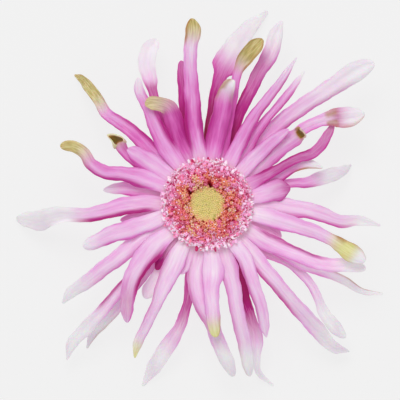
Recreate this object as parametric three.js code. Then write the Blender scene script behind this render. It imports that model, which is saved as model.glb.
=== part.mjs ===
// Spider gerbera bloom, cut just below its head, lying face up on the cut stub and on the tips of
// its drooping petals. Millimetres, +Z up. Every ray floret (petal) is a solid of its own: a narrow
// claw that stands on the receptacle, bends outwards over the bracts and widens into the blade.
import * as THREE from "three";
import { mergeVertices } from "three/addons/utils/BufferGeometryUtils.js";

// ---- driving dimensions ----
const CLEARANCE = 0.3; // gap between neighbouring pieces
const STEM_RADIUS = 2.8;
const STEM_LENGTH = 8; // cut face to the underside of the receptacle
const BUD_RADIUS = 4.9; // closed buds in the middle of the disc
const FLORET_WALL = 0.8; // tube wall of each ring of disc florets
const TIER_COUNT = 3; // petals stand in this many circles
const PETAL_THICKNESS = 0.8;
const TIER_GAP = 1; // free height between one tier of petals and the next
const CLAW_GAP = 0.4; // free space between one circle of claws and the next
const CLAW_BULGE = 0.5; // room for the inward belly that a claw makes before it bends out
const RECEPTACLE_DEPTH = 4.5;
const PLATE_MARGIN = 0.1; // receptacle's edge outside the outermost claws
const BRACT_THICKNESS = 0.8;
const BRACT_RISE = 2.9; // inner bract tips above the receptacle's top face
const OUTER_BRACT_RISE = 1.45;
const OUTER_BRACT_FLARE = 0.8; // outer bract tips lean out this far
const NOTCH_SHARE = 0.2; // height of the notch between two bract tips, as a share of their rise
const SHOULDER_RISE = 5; // lowest petals leave the head this far above the receptacle's top face
const SHOULDER_REACH = 1.7; // a petal's shoulder lies this far outside the outermost claws
const DISC_RISE = 12.6; // disc's rim above the receptacle's top face
const LONGEST_PETAL = 52.1; // shoulder to tip, seen from above

// ---- sizes that follow ----
const TIER_STEP = PETAL_THICKNESS + TIER_GAP;
const CLAW_STEP = PETAL_THICKNESS + CLAW_GAP;
const PLATE_Z = STEM_LENGTH + CLEARANCE + RECEPTACLE_DEPTH; // receptacle's top face
const FOOT_Z = PLATE_Z + CLEARANCE;
const ringInner = (ring) => BUD_RADIUS + CLEARANCE + ring * (FLORET_WALL + CLEARANCE);
const INNERMOST_CLAWS = ringInner(3) + PETAL_THICKNESS / 2 + CLAW_BULGE;
const clawRadius = (tier) => INNERMOST_CLAWS + (TIER_COUNT - 1 - tier) * CLAW_STEP;
const RECEPTACLE_RADIUS = clawRadius(0) + PETAL_THICKNESS / 2 + PLATE_MARGIN;
const SHOULDER_RADIUS = clawRadius(0) + SHOULDER_REACH;
const shoulderZ = (tier) => PLATE_Z + SHOULDER_RISE + tier * TIER_STEP;
const TOP_OF_PETALS = shoulderZ(TIER_COUNT - 1) + PETAL_THICKNESS / 2;
const DISC_RIM = PLATE_Z + DISC_RISE;

// ---- petals ----
// Each row is one petal: its tier (0 lowest), the bearing of its claw in degrees, anticlockwise
// from +X seen from above, and the stations that its midline passes through. A station is
// [reach beyond the shoulder, bearing, lift above the shoulder, width of the blade].
const PETALS = [
  { tier: 1, claw: -2, at: [[9, -2, 1.2, 5], [17, -4, 2.5, 4.8], [27, -7.2, 2.5, 3.8],
    [32, -6, 2, 3], [39, -7.2, 0.5, 0.8]] },
  { tier: 2, claw: 9, at: [[5, 10.5, 0.6, 4.6], [8.5, 11.5, 0.4, 5.6], [12, 11.5, -0.7, 4.4]] },
  { tier: 0, claw: 14, at: [[7, 15, 0.5, 2.6], [12.7, 14, 0, 2.4], [17.4, 12.2, -1.5, 3.2],
    [21.7, 12.6, -4, 4.2], [26.1, 13.4, -8, 4.2], [29.3, 14, -12, 2.8], [31.9, 15.1, -16.8, 0.8]] },
  { tier: 1, claw: 19, at: [[7, 19.8, 0.6, 3], [10.9, 21.3, 0.7, 3], [15.6, 22.5, 1, 3],
    [19.7, 21, 1, 2.6], [23, 17.5, 0, 1]] },
  { tier: 2, claw: 25, at: [[5.5, 25.5, 0.6, 2.6], [12, 26.9, 1.6, 2.4], [17.4, 26.6, 1.6, 2.8],
    [21.2, 25.4, 0.8, 3.4], [24.9, 26.6, -0.6, 3.8], [28, 29.1, -2.6, 3.6], [30.8, 32, -4.6, 2.6]] },
  { tier: 0, claw: 31, at: [[7, 33.5, 0.5, 3], [15, 36.5, 0, 3.4], [23.2, 37.8, 0.5, 3.6],
    [28.5, 36.1, 1, 3.8], [32.4, 34.3, 1.4, 4.2], [36.2, 31.8, 1.6, 4.8], [41, 29.7, 1.4, 2.6]] },
  { tier: 1, claw: 36, at: [[8.2, 37.5, 0.9, 5], [14, 38, 1.6, 5.6], [18.7, 37.2, 2.6, 5],
    [22.6, 37, 4.6, 3.6]] },
  { tier: 2, claw: 43, at: [[7, 44, 1, 3.6], [14, 43.5, 2.8, 3.6], [19.6, 42.1, 3.8, 1.8]] },
  { tier: 0, claw: 48, at: [[7, 49.5, 0.5, 4], [18.8, 48.2, 1, 4.5], [25.6, 46.1, 2, 4.5],
    [32.2, 44.3, 3, 4.5], [38.9, 42.9, 4, 5.2], [45.6, 41.8, 5, 5.4], [52.1, 40.3, 6, 2.4]] },
  { tier: 1, claw: 55, at: [[7, 55.5, 0.8, 3.4], [14, 55, 1.6, 2.8], [20.8, 54.4, 2, 2.4],
    [26.6, 53.8, 2.2, 2.6], [31.4, 53.5, 2.2, 1.9], [36, 53.6, 2, 0.6]] },
  { tier: 2, claw: 61, at: [[7, 62.3, 0.8, 3.6], [14, 62, 2, 3.6], [19.7, 60.9, 2.8, 3.1],
    [25.3, 59.8, 3.4, 2.8], [30.9, 58.9, 3.8, 2.2], [37.9, 58.4, 4, 0.6]] },
  { tier: 0, claw: 68, at: [[7, 70, 0.5, 3.4], [16.9, 70.3, 0, 3.6], [23.2, 69, -0.5, 3.9],
    [29.5, 68, -1, 4.1], [35.5, 67.1, -1.5, 4.9], [41, 67.8, -2, 4.4], [46.1, 67.7, -3, 1.6]] },
  { tier: 1, claw: 75, at: [[7, 75.5, 0.8, 3.2], [17, 76.4, 1.8, 3.4], [23, 76.8, 2.4, 3.2],
    [27, 76.8, 2.8, 3.6], [32, 75, 3.2, 4.6], [35.6, 73.2, 3.6, 4], [38.7, 71.4, 3.6, 1.8]] },
  { tier: 2, claw: 83, at: [[7, 82, 0.8, 4.2], [16, 80.6, 2.6, 4.2], [21, 79.9, 3.6, 3.6],
    [24, 79.8, 4, 2]] },
  { tier: 0, claw: 90, at: [[7, 89, 0.5, 2.4], [14.5, 87.3, 0, 2.2], [22, 85.2, -1.5, 2.8],
    [29, 82.5, -4, 6.2], [34.8, 79.4, -7, 6], [41, 76.6, -11, 4.8], [47.7, 72.4, -17, 1.4]] },
  { tier: 2, claw: 98, at: [[9.6, 99.3, 1.2, 4.6], [18.5, 98, 2.6, 4.6], [27.6, 96.8, 3.5, 4],
    [33.5, 96, 4, 3.7], [38.5, 94.7, 4, 3.9], [42.5, 94.3, 3.6, 1.4]] },
  { tier: 0, claw: 106, at: [[7, 105, 0.5, 2.4], [16.1, 104.3, 0, 2.4], [23.5, 102.3, -0.5, 2.4],
    [30.3, 101.2, -1, 1.6]] },
  { tier: 1, claw: 111, at: [[7.8, 112.6, 1, 5], [14.2, 112, 2.8, 5], [17.5, 112.8, 4.8, 4.4],
    [19.4, 115.5, 6.6, 3.4], [21.8, 118.5, 7.6, 2.4]] },
  { tier: 0, claw: 118, at: [[7, 119, 0.5, 2.8], [15, 118, 0, 2.6], [24, 115.9, -1.5, 2.6],
    [27.8, 114.3, -2.6, 3.2], [32.3, 113, -4, 4.4], [35.7, 110.6, -5.5, 4], [38.5, 107, -7, 2]] },
  { tier: 2, claw: 125, at: [[7, 125.8, 0.8, 4.6], [15.2, 122.9, 2, 4.4], [20.8, 121.6, 2.6, 3.4],
    [25.9, 121.1, 3, 3], [29.5, 118.4, 3.4, 1.2]] },
  { tier: 1, claw: 134, at: [[5, 136, 0.6, 4], [10.6, 136.5, 1.4, 4.2], [17, 136.2, 1.8, 4.2],
    [22.7, 137, 0.5, 3.8], [27, 138, -1.5, 3.4], [31.3, 136.4, -4.5, 3.2], [36.4, 135.2, -10, 3.2],
    [40, 135, -15, 2.2], [42.5, 135.9, -18.8, 0.7]] },
  { tier: 2, claw: 143, at: [[7, 144, 0.8, 4.8], [12, 145, 2, 4.6], [15.5, 146, 2.6, 3]] },
  { tier: 0, claw: 150, at: [[9, 150.3, 0.6, 2.6], [15, 149.5, 2, 2.6], [18, 147, 4.5, 2.8],
    [20.5, 144, 8, 3]] },
  { tier: 2, claw: 157, at: [[7.7, 157.5, 0.9, 4], [13.1, 160.5, 2, 4], [18.7, 162.6, 2.6, 4.1],
    [23.4, 160.6, 3, 3.6], [26.2, 157.6, 3.2, 3.4], [30.1, 156.8, 3, 3.4], [33.8, 158.5, 2.6, 2.6]] },
  { tier: 0, claw: 170, at: [[8.3, 168.3, 0.5, 3.2], [14, 170.2, 0, 3.2], [18, 172.2, -1, 1.4]] },
  { tier: 1, claw: 180, at: [[5, 179, 0.6, 4], [11.6, 181.6, 1.5, 4.8], [17.3, 184.2, 1.8, 4.6],
    [23, 184.9, 1, 4.4], [28.2, 184.4, -1.5, 4.4], [32.8, 184.8, -5, 5.2], [38, 185.2, -11, 6.4],
    [44.4, 184.4, -18.6, 2]] },
  { tier: 0, claw: 189, at: [[7, 189.5, 0.5, 3], [13, 190.5, -0.5, 1.4]] },
  { tier: 2, claw: 196, at: [[5, 198, 0.6, 4], [11, 198, 2, 5], [17, 197.5, 3, 5],
    [21.7, 198.8, 3, 4], [25.8, 199.2, 2.4, 3]] },
  { tier: 1, claw: 204, at: [[5, 206, 0.6, 4], [11.2, 208.6, 1.4, 4.8], [17.4, 211, 2, 4.8],
    [23.6, 212.1, 2, 4.5], [29.7, 212.9, 1, 4.2], [35.1, 213, -1, 3.4], [39.3, 214.6, -3.5, 1]] },
  { tier: 1, claw: 218, at: [[8, 220, 0.9, 3.2], [17, 223.5, 0.8, 3.2], [24.8, 224.7, -0.5, 3.4],
    [31.4, 225.8, -2.5, 3.6], [38.3, 225.7, -5.5, 4.2], [44.4, 225.9, -9, 3.6],
    [49.8, 228.2, -12.5, 0.8]] },
  { tier: 2, claw: 218, at: [[8, 219, 0.9, 5.6], [15.8, 223.5, 2.2, 5.6], [21.6, 228.2, 2.4, 4.8],
    [26.2, 232.5, 1.6, 3.8], [29.4, 236, 0.4, 1.8]] },
  { tier: 0, claw: 226, at: [[8, 227, 0.4, 2.8], [17, 228.3, -1, 3], [28.6, 229.1, -5.5, 3.4],
    [34.4, 228.6, -9, 3.4], [38.7, 228.9, -12.5, 2.6], [43.4, 230.3, -17.2, 0.7]] },
  { tier: 1, claw: 230, at: [[6, 230.5, 0.7, 3.6], [11.5, 232, 0.8, 1.8]] },
  { tier: 0, claw: 237, at: [[7, 237, 0.4, 4.2], [17, 236.5, -1, 4.6], [20.5, 236.5, -2, 3]] },
  { tier: 2, claw: 240, at: [[7, 241, 0.8, 5], [13.7, 242, 1.8, 4.8], [20, 243.3, 2.4, 3.3],
    [27.6, 243.3, 2, 3], [33, 243.6, 0.8, 2.8], [37.5, 245, -0.6, 0.8]] },
  { tier: 1, claw: 248, at: [[6, 249, 0.6, 3.6], [9, 249.5, 0.4, 2]] },
  { tier: 0, claw: 256, at: [[9, 257.2, 0.4, 3], [16.3, 259, -0.8, 2.6], [24, 257.4, -3.5, 3.4],
    [31.3, 254.5, -8, 4.8], [38, 252, -12.6, 4.6], [45, 250.5, -17.3, 1.2]] },
  { tier: 1, claw: 263, at: [[9, 261.5, 1, 4.4], [17, 266.5, 1.6, 4.4], [22, 272.2, 1.2, 4.3],
    [28.3, 275, -0.5, 4.3], [34, 277, -3, 4.2], [39, 279, -6, 2.2]] },
  { tier: 2, claw: 275, at: [[7, 274, 0.8, 4.6], [12, 272.7, 2, 4.2], [20.5, 273.2, 4, 4.2],
    [26.5, 273.8, 3, 1.6]] },
  { tier: 1, claw: 291, at: [[7, 289, 0.8, 4], [11, 287.7, 1.2, 4.2], [21, 285.7, 1.5, 4.2],
    [29.6, 285, 0, 4.2], [36, 284.5, -3, 3.6], [40, 284, -5.5, 1.8]] },
  { tier: 0, claw: 298, at: [[7, 295, 0.5, 3.4], [16, 291.6, -0.6, 3.8], [24, 290.5, -3.5, 4],
    [30, 289.6, -6.5, 4.5], [35, 287.7, -9.5, 3], [40, 287.1, -13, 1.8], [45.2, 290, -17.2, 0.8]] },
  { tier: 2, claw: 305, at: [[6.5, 304.5, 0.8, 3.6], [14, 300.5, 2, 3.8], [21.6, 297.4, 2.5, 3.6],
    [27, 295.1, 2, 3], [30.3, 294.2, 1, 0.8]] },
  { tier: 1, claw: 311, at: [[6, 312.5, 0.7, 4], [13, 311.3, 1.2, 4.3], [22, 311.2, 0.5, 4.3],
    [30, 311.3, -2, 4.6], [37, 311.2, -6, 4.8], [44, 311.7, -11, 3.6], [48.5, 314, -14.5, 0.8]] },
  { tier: 0, claw: 313, at: [[7, 318, -1, 2.2], [16, 323.7, -2.2, 2.4], [22, 323.5, -3, 2.6],
    [27, 322, -3.6, 2.6], [31, 319.2, -4, 2.6], [34.5, 317, -4.5, 3.4], [40, 316.2, -6, 4],
    [44.6, 316.1, -7, 2]] },
  { tier: 0, claw: 324, at: [[7, 325, 0.6, 2.4], [20, 327.2, 0, 2.6], [27, 329.6, -3, 2.8],
    [34, 330.8, -8, 2.6], [41, 330.8, -14, 1.8], [46.5, 332.9, -17.4, 0.6]] },
  { tier: 1, claw: 328, at: [[8, 328, 0.9, 4.4], [17, 330.5, 2, 4.2], [26, 333, 2, 4],
    [33, 336.5, 1, 4], [38, 337.7, 0, 2]] },
  { tier: 0, claw: 339, at: [[7, 337, 0.6, 3.6], [11, 335.5, 0.2, 2.4]] },
  { tier: 2, claw: 348, at: [[7, 347.5, 0.8, 4.4], [17, 346, 3.5, 4.4], [27, 343.5, 6, 4.2],
    [32, 341.5, 6.5, 4.8], [37, 340, 6, 2]] },
];

const CLAW_WIDTH = 1.4;
const SHOULDER_WIDTH = 2.2;
const PETAL_CUP = 0.45; // radians that the blade's edges turn up
const TIP_ROUNDING = 0.94; // share of the midline where the end starts to round off
const NARROWEST = 0.25; // share of the width and thickness left at the very tip
const BLADE_COLUMNS = 2;
const BLADE_ROWS = 13;
const TABLED_LONGEST = Math.max(...PETALS.map((petal) => petal.at.at(-1)[0]));
const STRETCH = LONGEST_PETAL / TABLED_LONGEST;

const COLOURS = {
  petal: 0xe2a9d8,
  stem: 0x8fae5d,
  receptacle: 0x9dbb6a,
  innerBract: 0x7f9c54,
  outerBract: 0x6f8c48,
  transFloret: 0xe9a5c4,
  outerFloret: 0xd9573f,
  innerFloret: 0xe89a6c,
  bud: 0xc9c067,
};
const material = (colour, roughness) =>
  new THREE.MeshStandardMaterial({ color: colour, roughness, metalness: 0 });

const flower = new THREE.Group();
const addPart = (name, geometry, colour, roughness) => {
  const mesh = new THREE.Mesh(geometry, material(colour, roughness));
  mesh.name = name;
  flower.add(mesh);
};

// A point on a circle round the flower's axis.
const around = (radius, bearing, z) => {
  const angle = THREE.MathUtils.degToRad(bearing);
  return new THREE.Vector3(radius * Math.cos(angle), radius * Math.sin(angle), z);
};

// The midline's control points and the width at each: the claw's foot and top, the shoulder, then
// the petal's own stations.
const petalStations = ({ tier, claw, at }) => [
  { point: around(clawRadius(tier), claw, FOOT_Z), width: CLAW_WIDTH },
  { point: around(clawRadius(tier), claw, shoulderZ(tier) - TIER_STEP), width: CLAW_WIDTH },
  { point: around(SHOULDER_RADIUS, claw, shoulderZ(tier)), width: SHOULDER_WIDTH },
  ...at.map(([reach, bearing, lift, width]) => ({
    point: around(SHOULDER_RADIUS + reach * STRETCH, bearing, shoulderZ(tier) + lift),
    width,
  })),
];

// Tangent, upward normal and left-hand side at each row of the midline. The first normal points at
// the flower's axis, and each later one is the one before it made square to the new tangent.
const framesAlong = (curve, rows) => {
  let normal = curve.getPoint(0).setZ(0).negate().normalize();
  return Array.from({ length: rows + 1 }, (_, row) => {
    const tangent = curve.getTangent(row / rows);
    normal = normal.clone().addScaledVector(tangent, -normal.dot(tangent)).normalize();
    return { point: curve.getPoint(row / rows), normal, left: normal.clone().cross(tangent) };
  });
};

// A petal: a thin block whose length follows the midline and whose section is an arc, cupped upwards.
const petalGeometry = (petal) => {
  const stations = petalStations(petal);
  const spans = stations.length - 1;
  const curve = new THREE.CatmullRomCurve3(stations.map((station) => station.point));
  const frames = framesAlong(curve, BLADE_ROWS);
  const block = new THREE.BoxGeometry(1, 1, 1, BLADE_COLUMNS, 1, BLADE_ROWS);
  const corners = block.getAttribute("position");
  for (let i = 0; i < corners.count; i += 1) {
    const share = corners.getZ(i) + 0.5;
    const { point, normal, left } = frames[Math.round(share * BLADE_ROWS)];
    const span = Math.min(Math.floor(share * spans), spans - 1);
    const blend = THREE.MathUtils.smoothstep(share * spans - span, 0, 1);
    const width = THREE.MathUtils.lerp(stations[span].width, stations[span + 1].width, blend);
    const past = Math.max(0, (share - TIP_ROUNDING) / (1 - TIP_ROUNDING));
    const taper = Math.max(NARROWEST, Math.sqrt(1 - Math.min(1, past) ** 2));
    const turn = 2 * corners.getX(i) * PETAL_CUP;
    const sideways = (taper * width * Math.sin(turn)) / (2 * PETAL_CUP);
    const raised = (taper * width * (1 - Math.cos(turn))) / (2 * PETAL_CUP);
    const height = raised + corners.getY(i) * PETAL_THICKNESS * taper;
    const placed = point.clone().addScaledVector(left, sideways).addScaledVector(normal, height);
    corners.setXYZ(i, placed.x, placed.y, placed.z);
  }
  block.deleteAttribute("uv");
  block.deleteAttribute("normal");
  const merged = mergeVertices(block, 1e-4);
  merged.computeVertexNormals();
  return merged;
};

PETALS.forEach((petal, index) => {
  const number = String(index + 1).padStart(2, "0");
  addPart(`petal_${number}`, petalGeometry(petal), COLOURS.petal, 0.6);
});

// A solid turned about the flower's axis from [radius, z] corners, given anticlockwise with the
// radius to the right and z up.
const TURNED_SEGMENTS = 32;
const turned = (corners, segments = TURNED_SEGMENTS) => {
  const outline = corners.map(([radius, z]) => new THREE.Vector2(radius, z));
  const closes = corners[0][0] === 0 && corners.at(-1)[0] === 0;
  const lathe = new THREE.LatheGeometry(closes ? outline : [...outline, outline[0]], segments);
  lathe.rotateX(Math.PI / 2);
  return lathe;
};

// The lower quarter of an ellipse about the middle of the receptacle's top face, grown outwards.
const BELL_STEPS = 4;
const bell = (grown, fromRadius) => {
  const across = RECEPTACLE_RADIUS + grown;
  const deep = RECEPTACLE_DEPTH + grown;
  const start = Math.asin(fromRadius / across);
  return Array.from({ length: BELL_STEPS + 1 }, (_, step) => {
    const angle = THREE.MathUtils.lerp(start, Math.PI / 2, step / BELL_STEPS);
    return [across * Math.sin(angle), PLATE_Z - deep * Math.cos(angle)];
  });
};

// Stem stub: slightly waisted, cut square so that it stands on its cut face.
const WAIST_SHARE = 0.94; // stem's radius halfway up, as a share of its radius at the ends
const stemCorners = [
  [0, 0],
  [STEM_RADIUS, 0],
  [WAIST_SHARE * STEM_RADIUS, STEM_LENGTH / 2],
  [STEM_RADIUS, STEM_LENGTH],
  [0, STEM_LENGTH],
];
addPart("stem", turned(stemCorners), COLOURS.stem, 0.6);

// Receptacle: the fleshy plate that carries every floret.
const receptacleCorners = [...bell(0, 0), [0, PLATE_Z]];
addPart("receptacle", turned(receptacleCorners), COLOURS.receptacle, 0.7);

// A row of green bracts, grown together at the foot: a bell-shaped wall whose upper edge is cut
// into pointed tips. Only the wall's last two corners on each side rise and fall with the tips.
const bractRow = ({ grown, rise, flare, tips }) => {
  const outer = bell(grown + BRACT_THICKNESS, STEM_RADIUS + CLEARANCE);
  const inner = bell(grown, STEM_RADIUS + CLEARANCE);
  const outside = RECEPTACLE_RADIUS + grown + BRACT_THICKNESS;
  const inside = RECEPTACLE_RADIUS + grown;
  const rim = PLATE_Z + rise;
  const corners = [...outer, [outside + flare, rim], [inside + flare, rim], ...inner.reverse()];
  const geometry = turned(corners, tips * 2);
  const places = geometry.getAttribute("position");
  const notchZ = PLATE_Z + NOTCH_SHARE * rise;
  for (let i = 0; i < places.count; i += 1) {
    if (places.getZ(i) > rim - 0.01) {
      const turns = (Math.atan2(places.getY(i), places.getX(i)) / (2 * Math.PI)) * tips;
      const fromTip = Math.abs(turns - Math.round(turns)) * 2;
      places.setZ(i, THREE.MathUtils.lerp(rim, notchZ, fromTip));
    }
  }
  return geometry;
};
const innerBracts = { grown: CLEARANCE, rise: BRACT_RISE, flare: 0, tips: 16 };
const outerGrown = innerBracts.grown + BRACT_THICKNESS + CLEARANCE;
const outerBracts = {
  grown: outerGrown,
  rise: OUTER_BRACT_RISE,
  flare: OUTER_BRACT_FLARE,
  tips: 13,
};
addPart("inner_bracts", bractRow(innerBracts), COLOURS.innerBract, 0.7);
addPart("outer_bracts", bractRow(outerBracts), COLOURS.outerBract, 0.7);

// Disc florets stand in nested rings. Each ring is a tube wall that leans outwards above the height
// `start`; `head` gives the corners of its leaning part, from the outer flank over the lip to the
// inner side, as [out from the wall, above the disc's rim].
const LEAN_START = TOP_OF_PETALS + CLEARANCE; // rings may spread only above the petals
const florets = ({ ring, start, head }) => {
  const inner = ringInner(ring);
  const outer = inner + FLORET_WALL;
  return turned([
    [inner, FOOT_Z],
    [outer, FOOT_Z],
    [outer, start],
    ...head.map(([out, above]) => [outer + out, DISC_RIM + above]),
    [inner, start + CLEARANCE],
  ]);
};
const transFlorets = {
  ring: 2,
  start: LEAN_START - 0.4,
  head: [[5.2, -2.1], [5.6, -1], [3.8, -0.1], [2.2, -0.2], [1.9, -0.9]],
};
const outerFlorets = {
  ring: 1,
  start: LEAN_START,
  head: [[2.7, -0.8], [2.9, 0], [2.2, 0.7], [1.1, 0.6], [0.85, -0.4]],
};
const innerFlorets = {
  ring: 0,
  start: LEAN_START + 0.4,
  head: [[1.6, 0], [1.2, 0.6], [0.2, 0.4], [-0.5, -0.8]],
};
addPart("trans_florets", florets(transFlorets), COLOURS.transFloret, 0.6);
addPart("outer_disc_florets", florets(outerFlorets), COLOURS.outerFloret, 0.6);
addPart("inner_disc_florets", florets(innerFlorets), COLOURS.innerFloret, 0.6);

// Centre buds: one low dome, sunk below the disc's rim.
const DOME_RISE = 1;
const DOME_STEPS = 4;
const budShoulderZ = LEAN_START + 0.3;
const dome = Array.from({ length: DOME_STEPS }, (_, step) => {
  const angle = ((step / DOME_STEPS) * Math.PI) / 2;
  return [BUD_RADIUS * Math.cos(angle), budShoulderZ + DOME_RISE * Math.sin(angle)];
});
const budCorners = [[0, FOOT_Z], [BUD_RADIUS, FOOT_Z], ...dome, [0, budShoulderZ + DOME_RISE]];
addPart("centre_buds", turned(budCorners), COLOURS.bud, 0.8);

// The origin is on the surface that the bloom lies on, under the middle of its outline.
const outline = new THREE.Box3().setFromObject(flower, true);
const middle = outline.getCenter(new THREE.Vector3());
flower.position.set(-middle.x, -middle.y, -outline.min.z);

export default flower;
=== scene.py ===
"""Cut spider gerbera bloom lying face up on a pale surface, seen straight down its axis.

The tables and the shape functions work in millimetres measured from the foot of the flower's axis;
place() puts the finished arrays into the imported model's frame, in metres.
"""

import bpy
import numpy as np
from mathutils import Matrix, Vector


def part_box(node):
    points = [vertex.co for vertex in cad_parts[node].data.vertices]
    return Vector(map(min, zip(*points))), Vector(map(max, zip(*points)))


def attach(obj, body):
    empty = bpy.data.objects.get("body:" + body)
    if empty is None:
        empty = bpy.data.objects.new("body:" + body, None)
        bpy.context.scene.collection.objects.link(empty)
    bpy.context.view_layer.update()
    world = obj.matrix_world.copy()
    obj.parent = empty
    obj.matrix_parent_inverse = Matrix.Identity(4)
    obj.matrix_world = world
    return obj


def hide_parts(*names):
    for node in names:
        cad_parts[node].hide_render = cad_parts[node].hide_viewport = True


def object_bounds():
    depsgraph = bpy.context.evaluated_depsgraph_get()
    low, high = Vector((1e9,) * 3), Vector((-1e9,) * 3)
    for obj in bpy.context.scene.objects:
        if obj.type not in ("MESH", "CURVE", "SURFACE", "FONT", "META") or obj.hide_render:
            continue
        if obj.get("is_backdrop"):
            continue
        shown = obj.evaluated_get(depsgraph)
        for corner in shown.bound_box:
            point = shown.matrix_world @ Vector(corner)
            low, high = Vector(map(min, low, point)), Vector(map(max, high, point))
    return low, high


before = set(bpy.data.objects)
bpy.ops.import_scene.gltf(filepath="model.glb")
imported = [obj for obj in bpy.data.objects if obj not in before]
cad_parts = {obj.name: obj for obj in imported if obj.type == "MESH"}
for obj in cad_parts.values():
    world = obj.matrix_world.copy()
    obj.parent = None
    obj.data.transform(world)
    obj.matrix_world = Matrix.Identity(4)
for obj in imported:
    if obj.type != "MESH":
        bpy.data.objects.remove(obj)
cad_low, cad_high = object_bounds()

MM = 0.001
rng = np.random.default_rng(48)

# ---- what the frame gives ----
stem_low, stem_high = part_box("stem")
receptacle_low, receptacle_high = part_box("receptacle")
FOOT = np.array([(stem_low.x + stem_high.x) / 2, (stem_low.y + stem_high.y) / 2, stem_low.z])
STEM_LENGTH = (stem_high.z - stem_low.z) / MM
STEM_RADIUS = (stem_high.x - stem_low.x) / 2 / MM
RECEPTACLE_LOW = (receptacle_low.z - stem_low.z) / MM
PLATE_Z = (receptacle_high.z - stem_low.z) / MM
RECEPTACLE_RADIUS = (receptacle_high.x - receptacle_low.x) / 2 / MM


# ---------------------------------------------------------------- camera and light

FIELD = 120 * MM  # width that the camera takes in at FIELD_Z
FIELD_Z = 20 * MM
CAMERA_HEIGHT = 2.0
CAMERA_ASIDE = (-2.1 * MM, 1.2 * MM)  # from the flower's axis
SENSOR = 36.0
LAMP_AIM = (0, 0, 0.01)
KEY_POWER = 5.2
FILL_POWER = 0.9
SURROUND_STRENGTH = 0.52


def make_camera():
    """A long lens straight above the bloom, a little off its axis, that looks down with +Y up."""
    data = bpy.data.cameras.new("camera")
    data.sensor_width = SENSOR
    data.lens = SENSOR * (CAMERA_HEIGHT - FIELD_Z) / FIELD
    camera = bpy.data.objects.new("camera", data)
    bpy.context.scene.collection.objects.link(camera)
    camera.location = (FOOT[0] + CAMERA_ASIDE[0], FOOT[1] + CAMERA_ASIDE[1], CAMERA_HEIGHT)
    bpy.context.scene.camera = camera


def make_lamp(name, spot, size, power, colour):
    """A square soft box at a spot, turned so that it looks at LAMP_AIM."""
    data = bpy.data.lights.new(name, "AREA")
    data.size = size
    data.energy = power
    data.color = colour
    lamp = bpy.data.objects.new(name, data)
    bpy.context.scene.collection.objects.link(lamp)
    lamp.location = spot
    direction = Vector(LAMP_AIM) - Vector(spot)
    lamp.rotation_euler = direction.to_track_quat("-Z", "Y").to_euler()


def make_world(strength):
    """An even white surround."""
    world = bpy.data.worlds.new("surround")
    world.use_nodes = True
    background = world.node_tree.nodes["Background"]
    background.inputs["Color"].default_value = (1, 1, 1, 1)
    background.inputs["Strength"].default_value = strength
    bpy.context.scene.world = world


make_camera()
make_world(SURROUND_STRENGTH)
make_lamp("key", (-0.12, 0.5, 1.05), 0.45, KEY_POWER, (1.0, 0.99, 0.985))
make_lamp("fill", (0.3, -0.6, 1.0), 0.9, FILL_POWER, (0.96, 0.98, 1.0))
bpy.context.scene.view_settings.view_transform = "Standard"


# ---------------------------------------------------------------- material tools

SUBSURFACE_SCALE = 0.9 * MM


def linear(code):
    """The linear colour of a hex colour as it is seen on a screen."""
    parts = [int(code[i:i + 2], 16) / 255 for i in (0, 2, 4)]
    return tuple(p / 12.92 if p <= 0.04045 else ((p + 0.055) / 1.055) ** 2.4 for p in parts) + (1,)


def add(tree, kind, inputs=None, **settings):
    """Adds a node, sets its properties, and links or fills its inputs."""
    node = tree.nodes.new(kind)
    for key, value in settings.items():
        setattr(node, key, value)
    for key, value in (inputs or {}).items():
        if isinstance(value, bpy.types.NodeSocket):
            tree.links.new(value, node.inputs[key])
        else:
            node.inputs[key].default_value = value
    return node


def attribute(tree, name, output="Fac"):
    """A value, or a vector, that the mesh carries at each point."""
    return add(tree, "ShaderNodeAttribute", attribute_name=name).outputs[output]


def blend_colour(tree, share, first, second):
    """The first colour turning into the second as share goes from 0 to 1."""
    node = add(tree, "ShaderNodeMix", {0: share, 6: first, 7: second}, data_type="RGBA")
    return node.outputs[2]


def sum_up(tree, operation, first, second, clamp=True):
    """One step of arithmetic on two values."""
    node = add(tree, "ShaderNodeMath", {0: first, 1: second}, operation=operation, use_clamp=clamp)
    return node.outputs[0]


def ramp(tree, value, stops):
    """A colour ramp through (position, hex colour) stops."""
    node = add(tree, "ShaderNodeValToRGB", {"Fac": value})
    elements = node.color_ramp.elements
    while len(elements) < len(stops):
        elements.new(0.5)
    for element, (position, code) in zip(elements, stops):
        element.position = position
        element.color = linear(code)
    return node.outputs["Color"]


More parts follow.
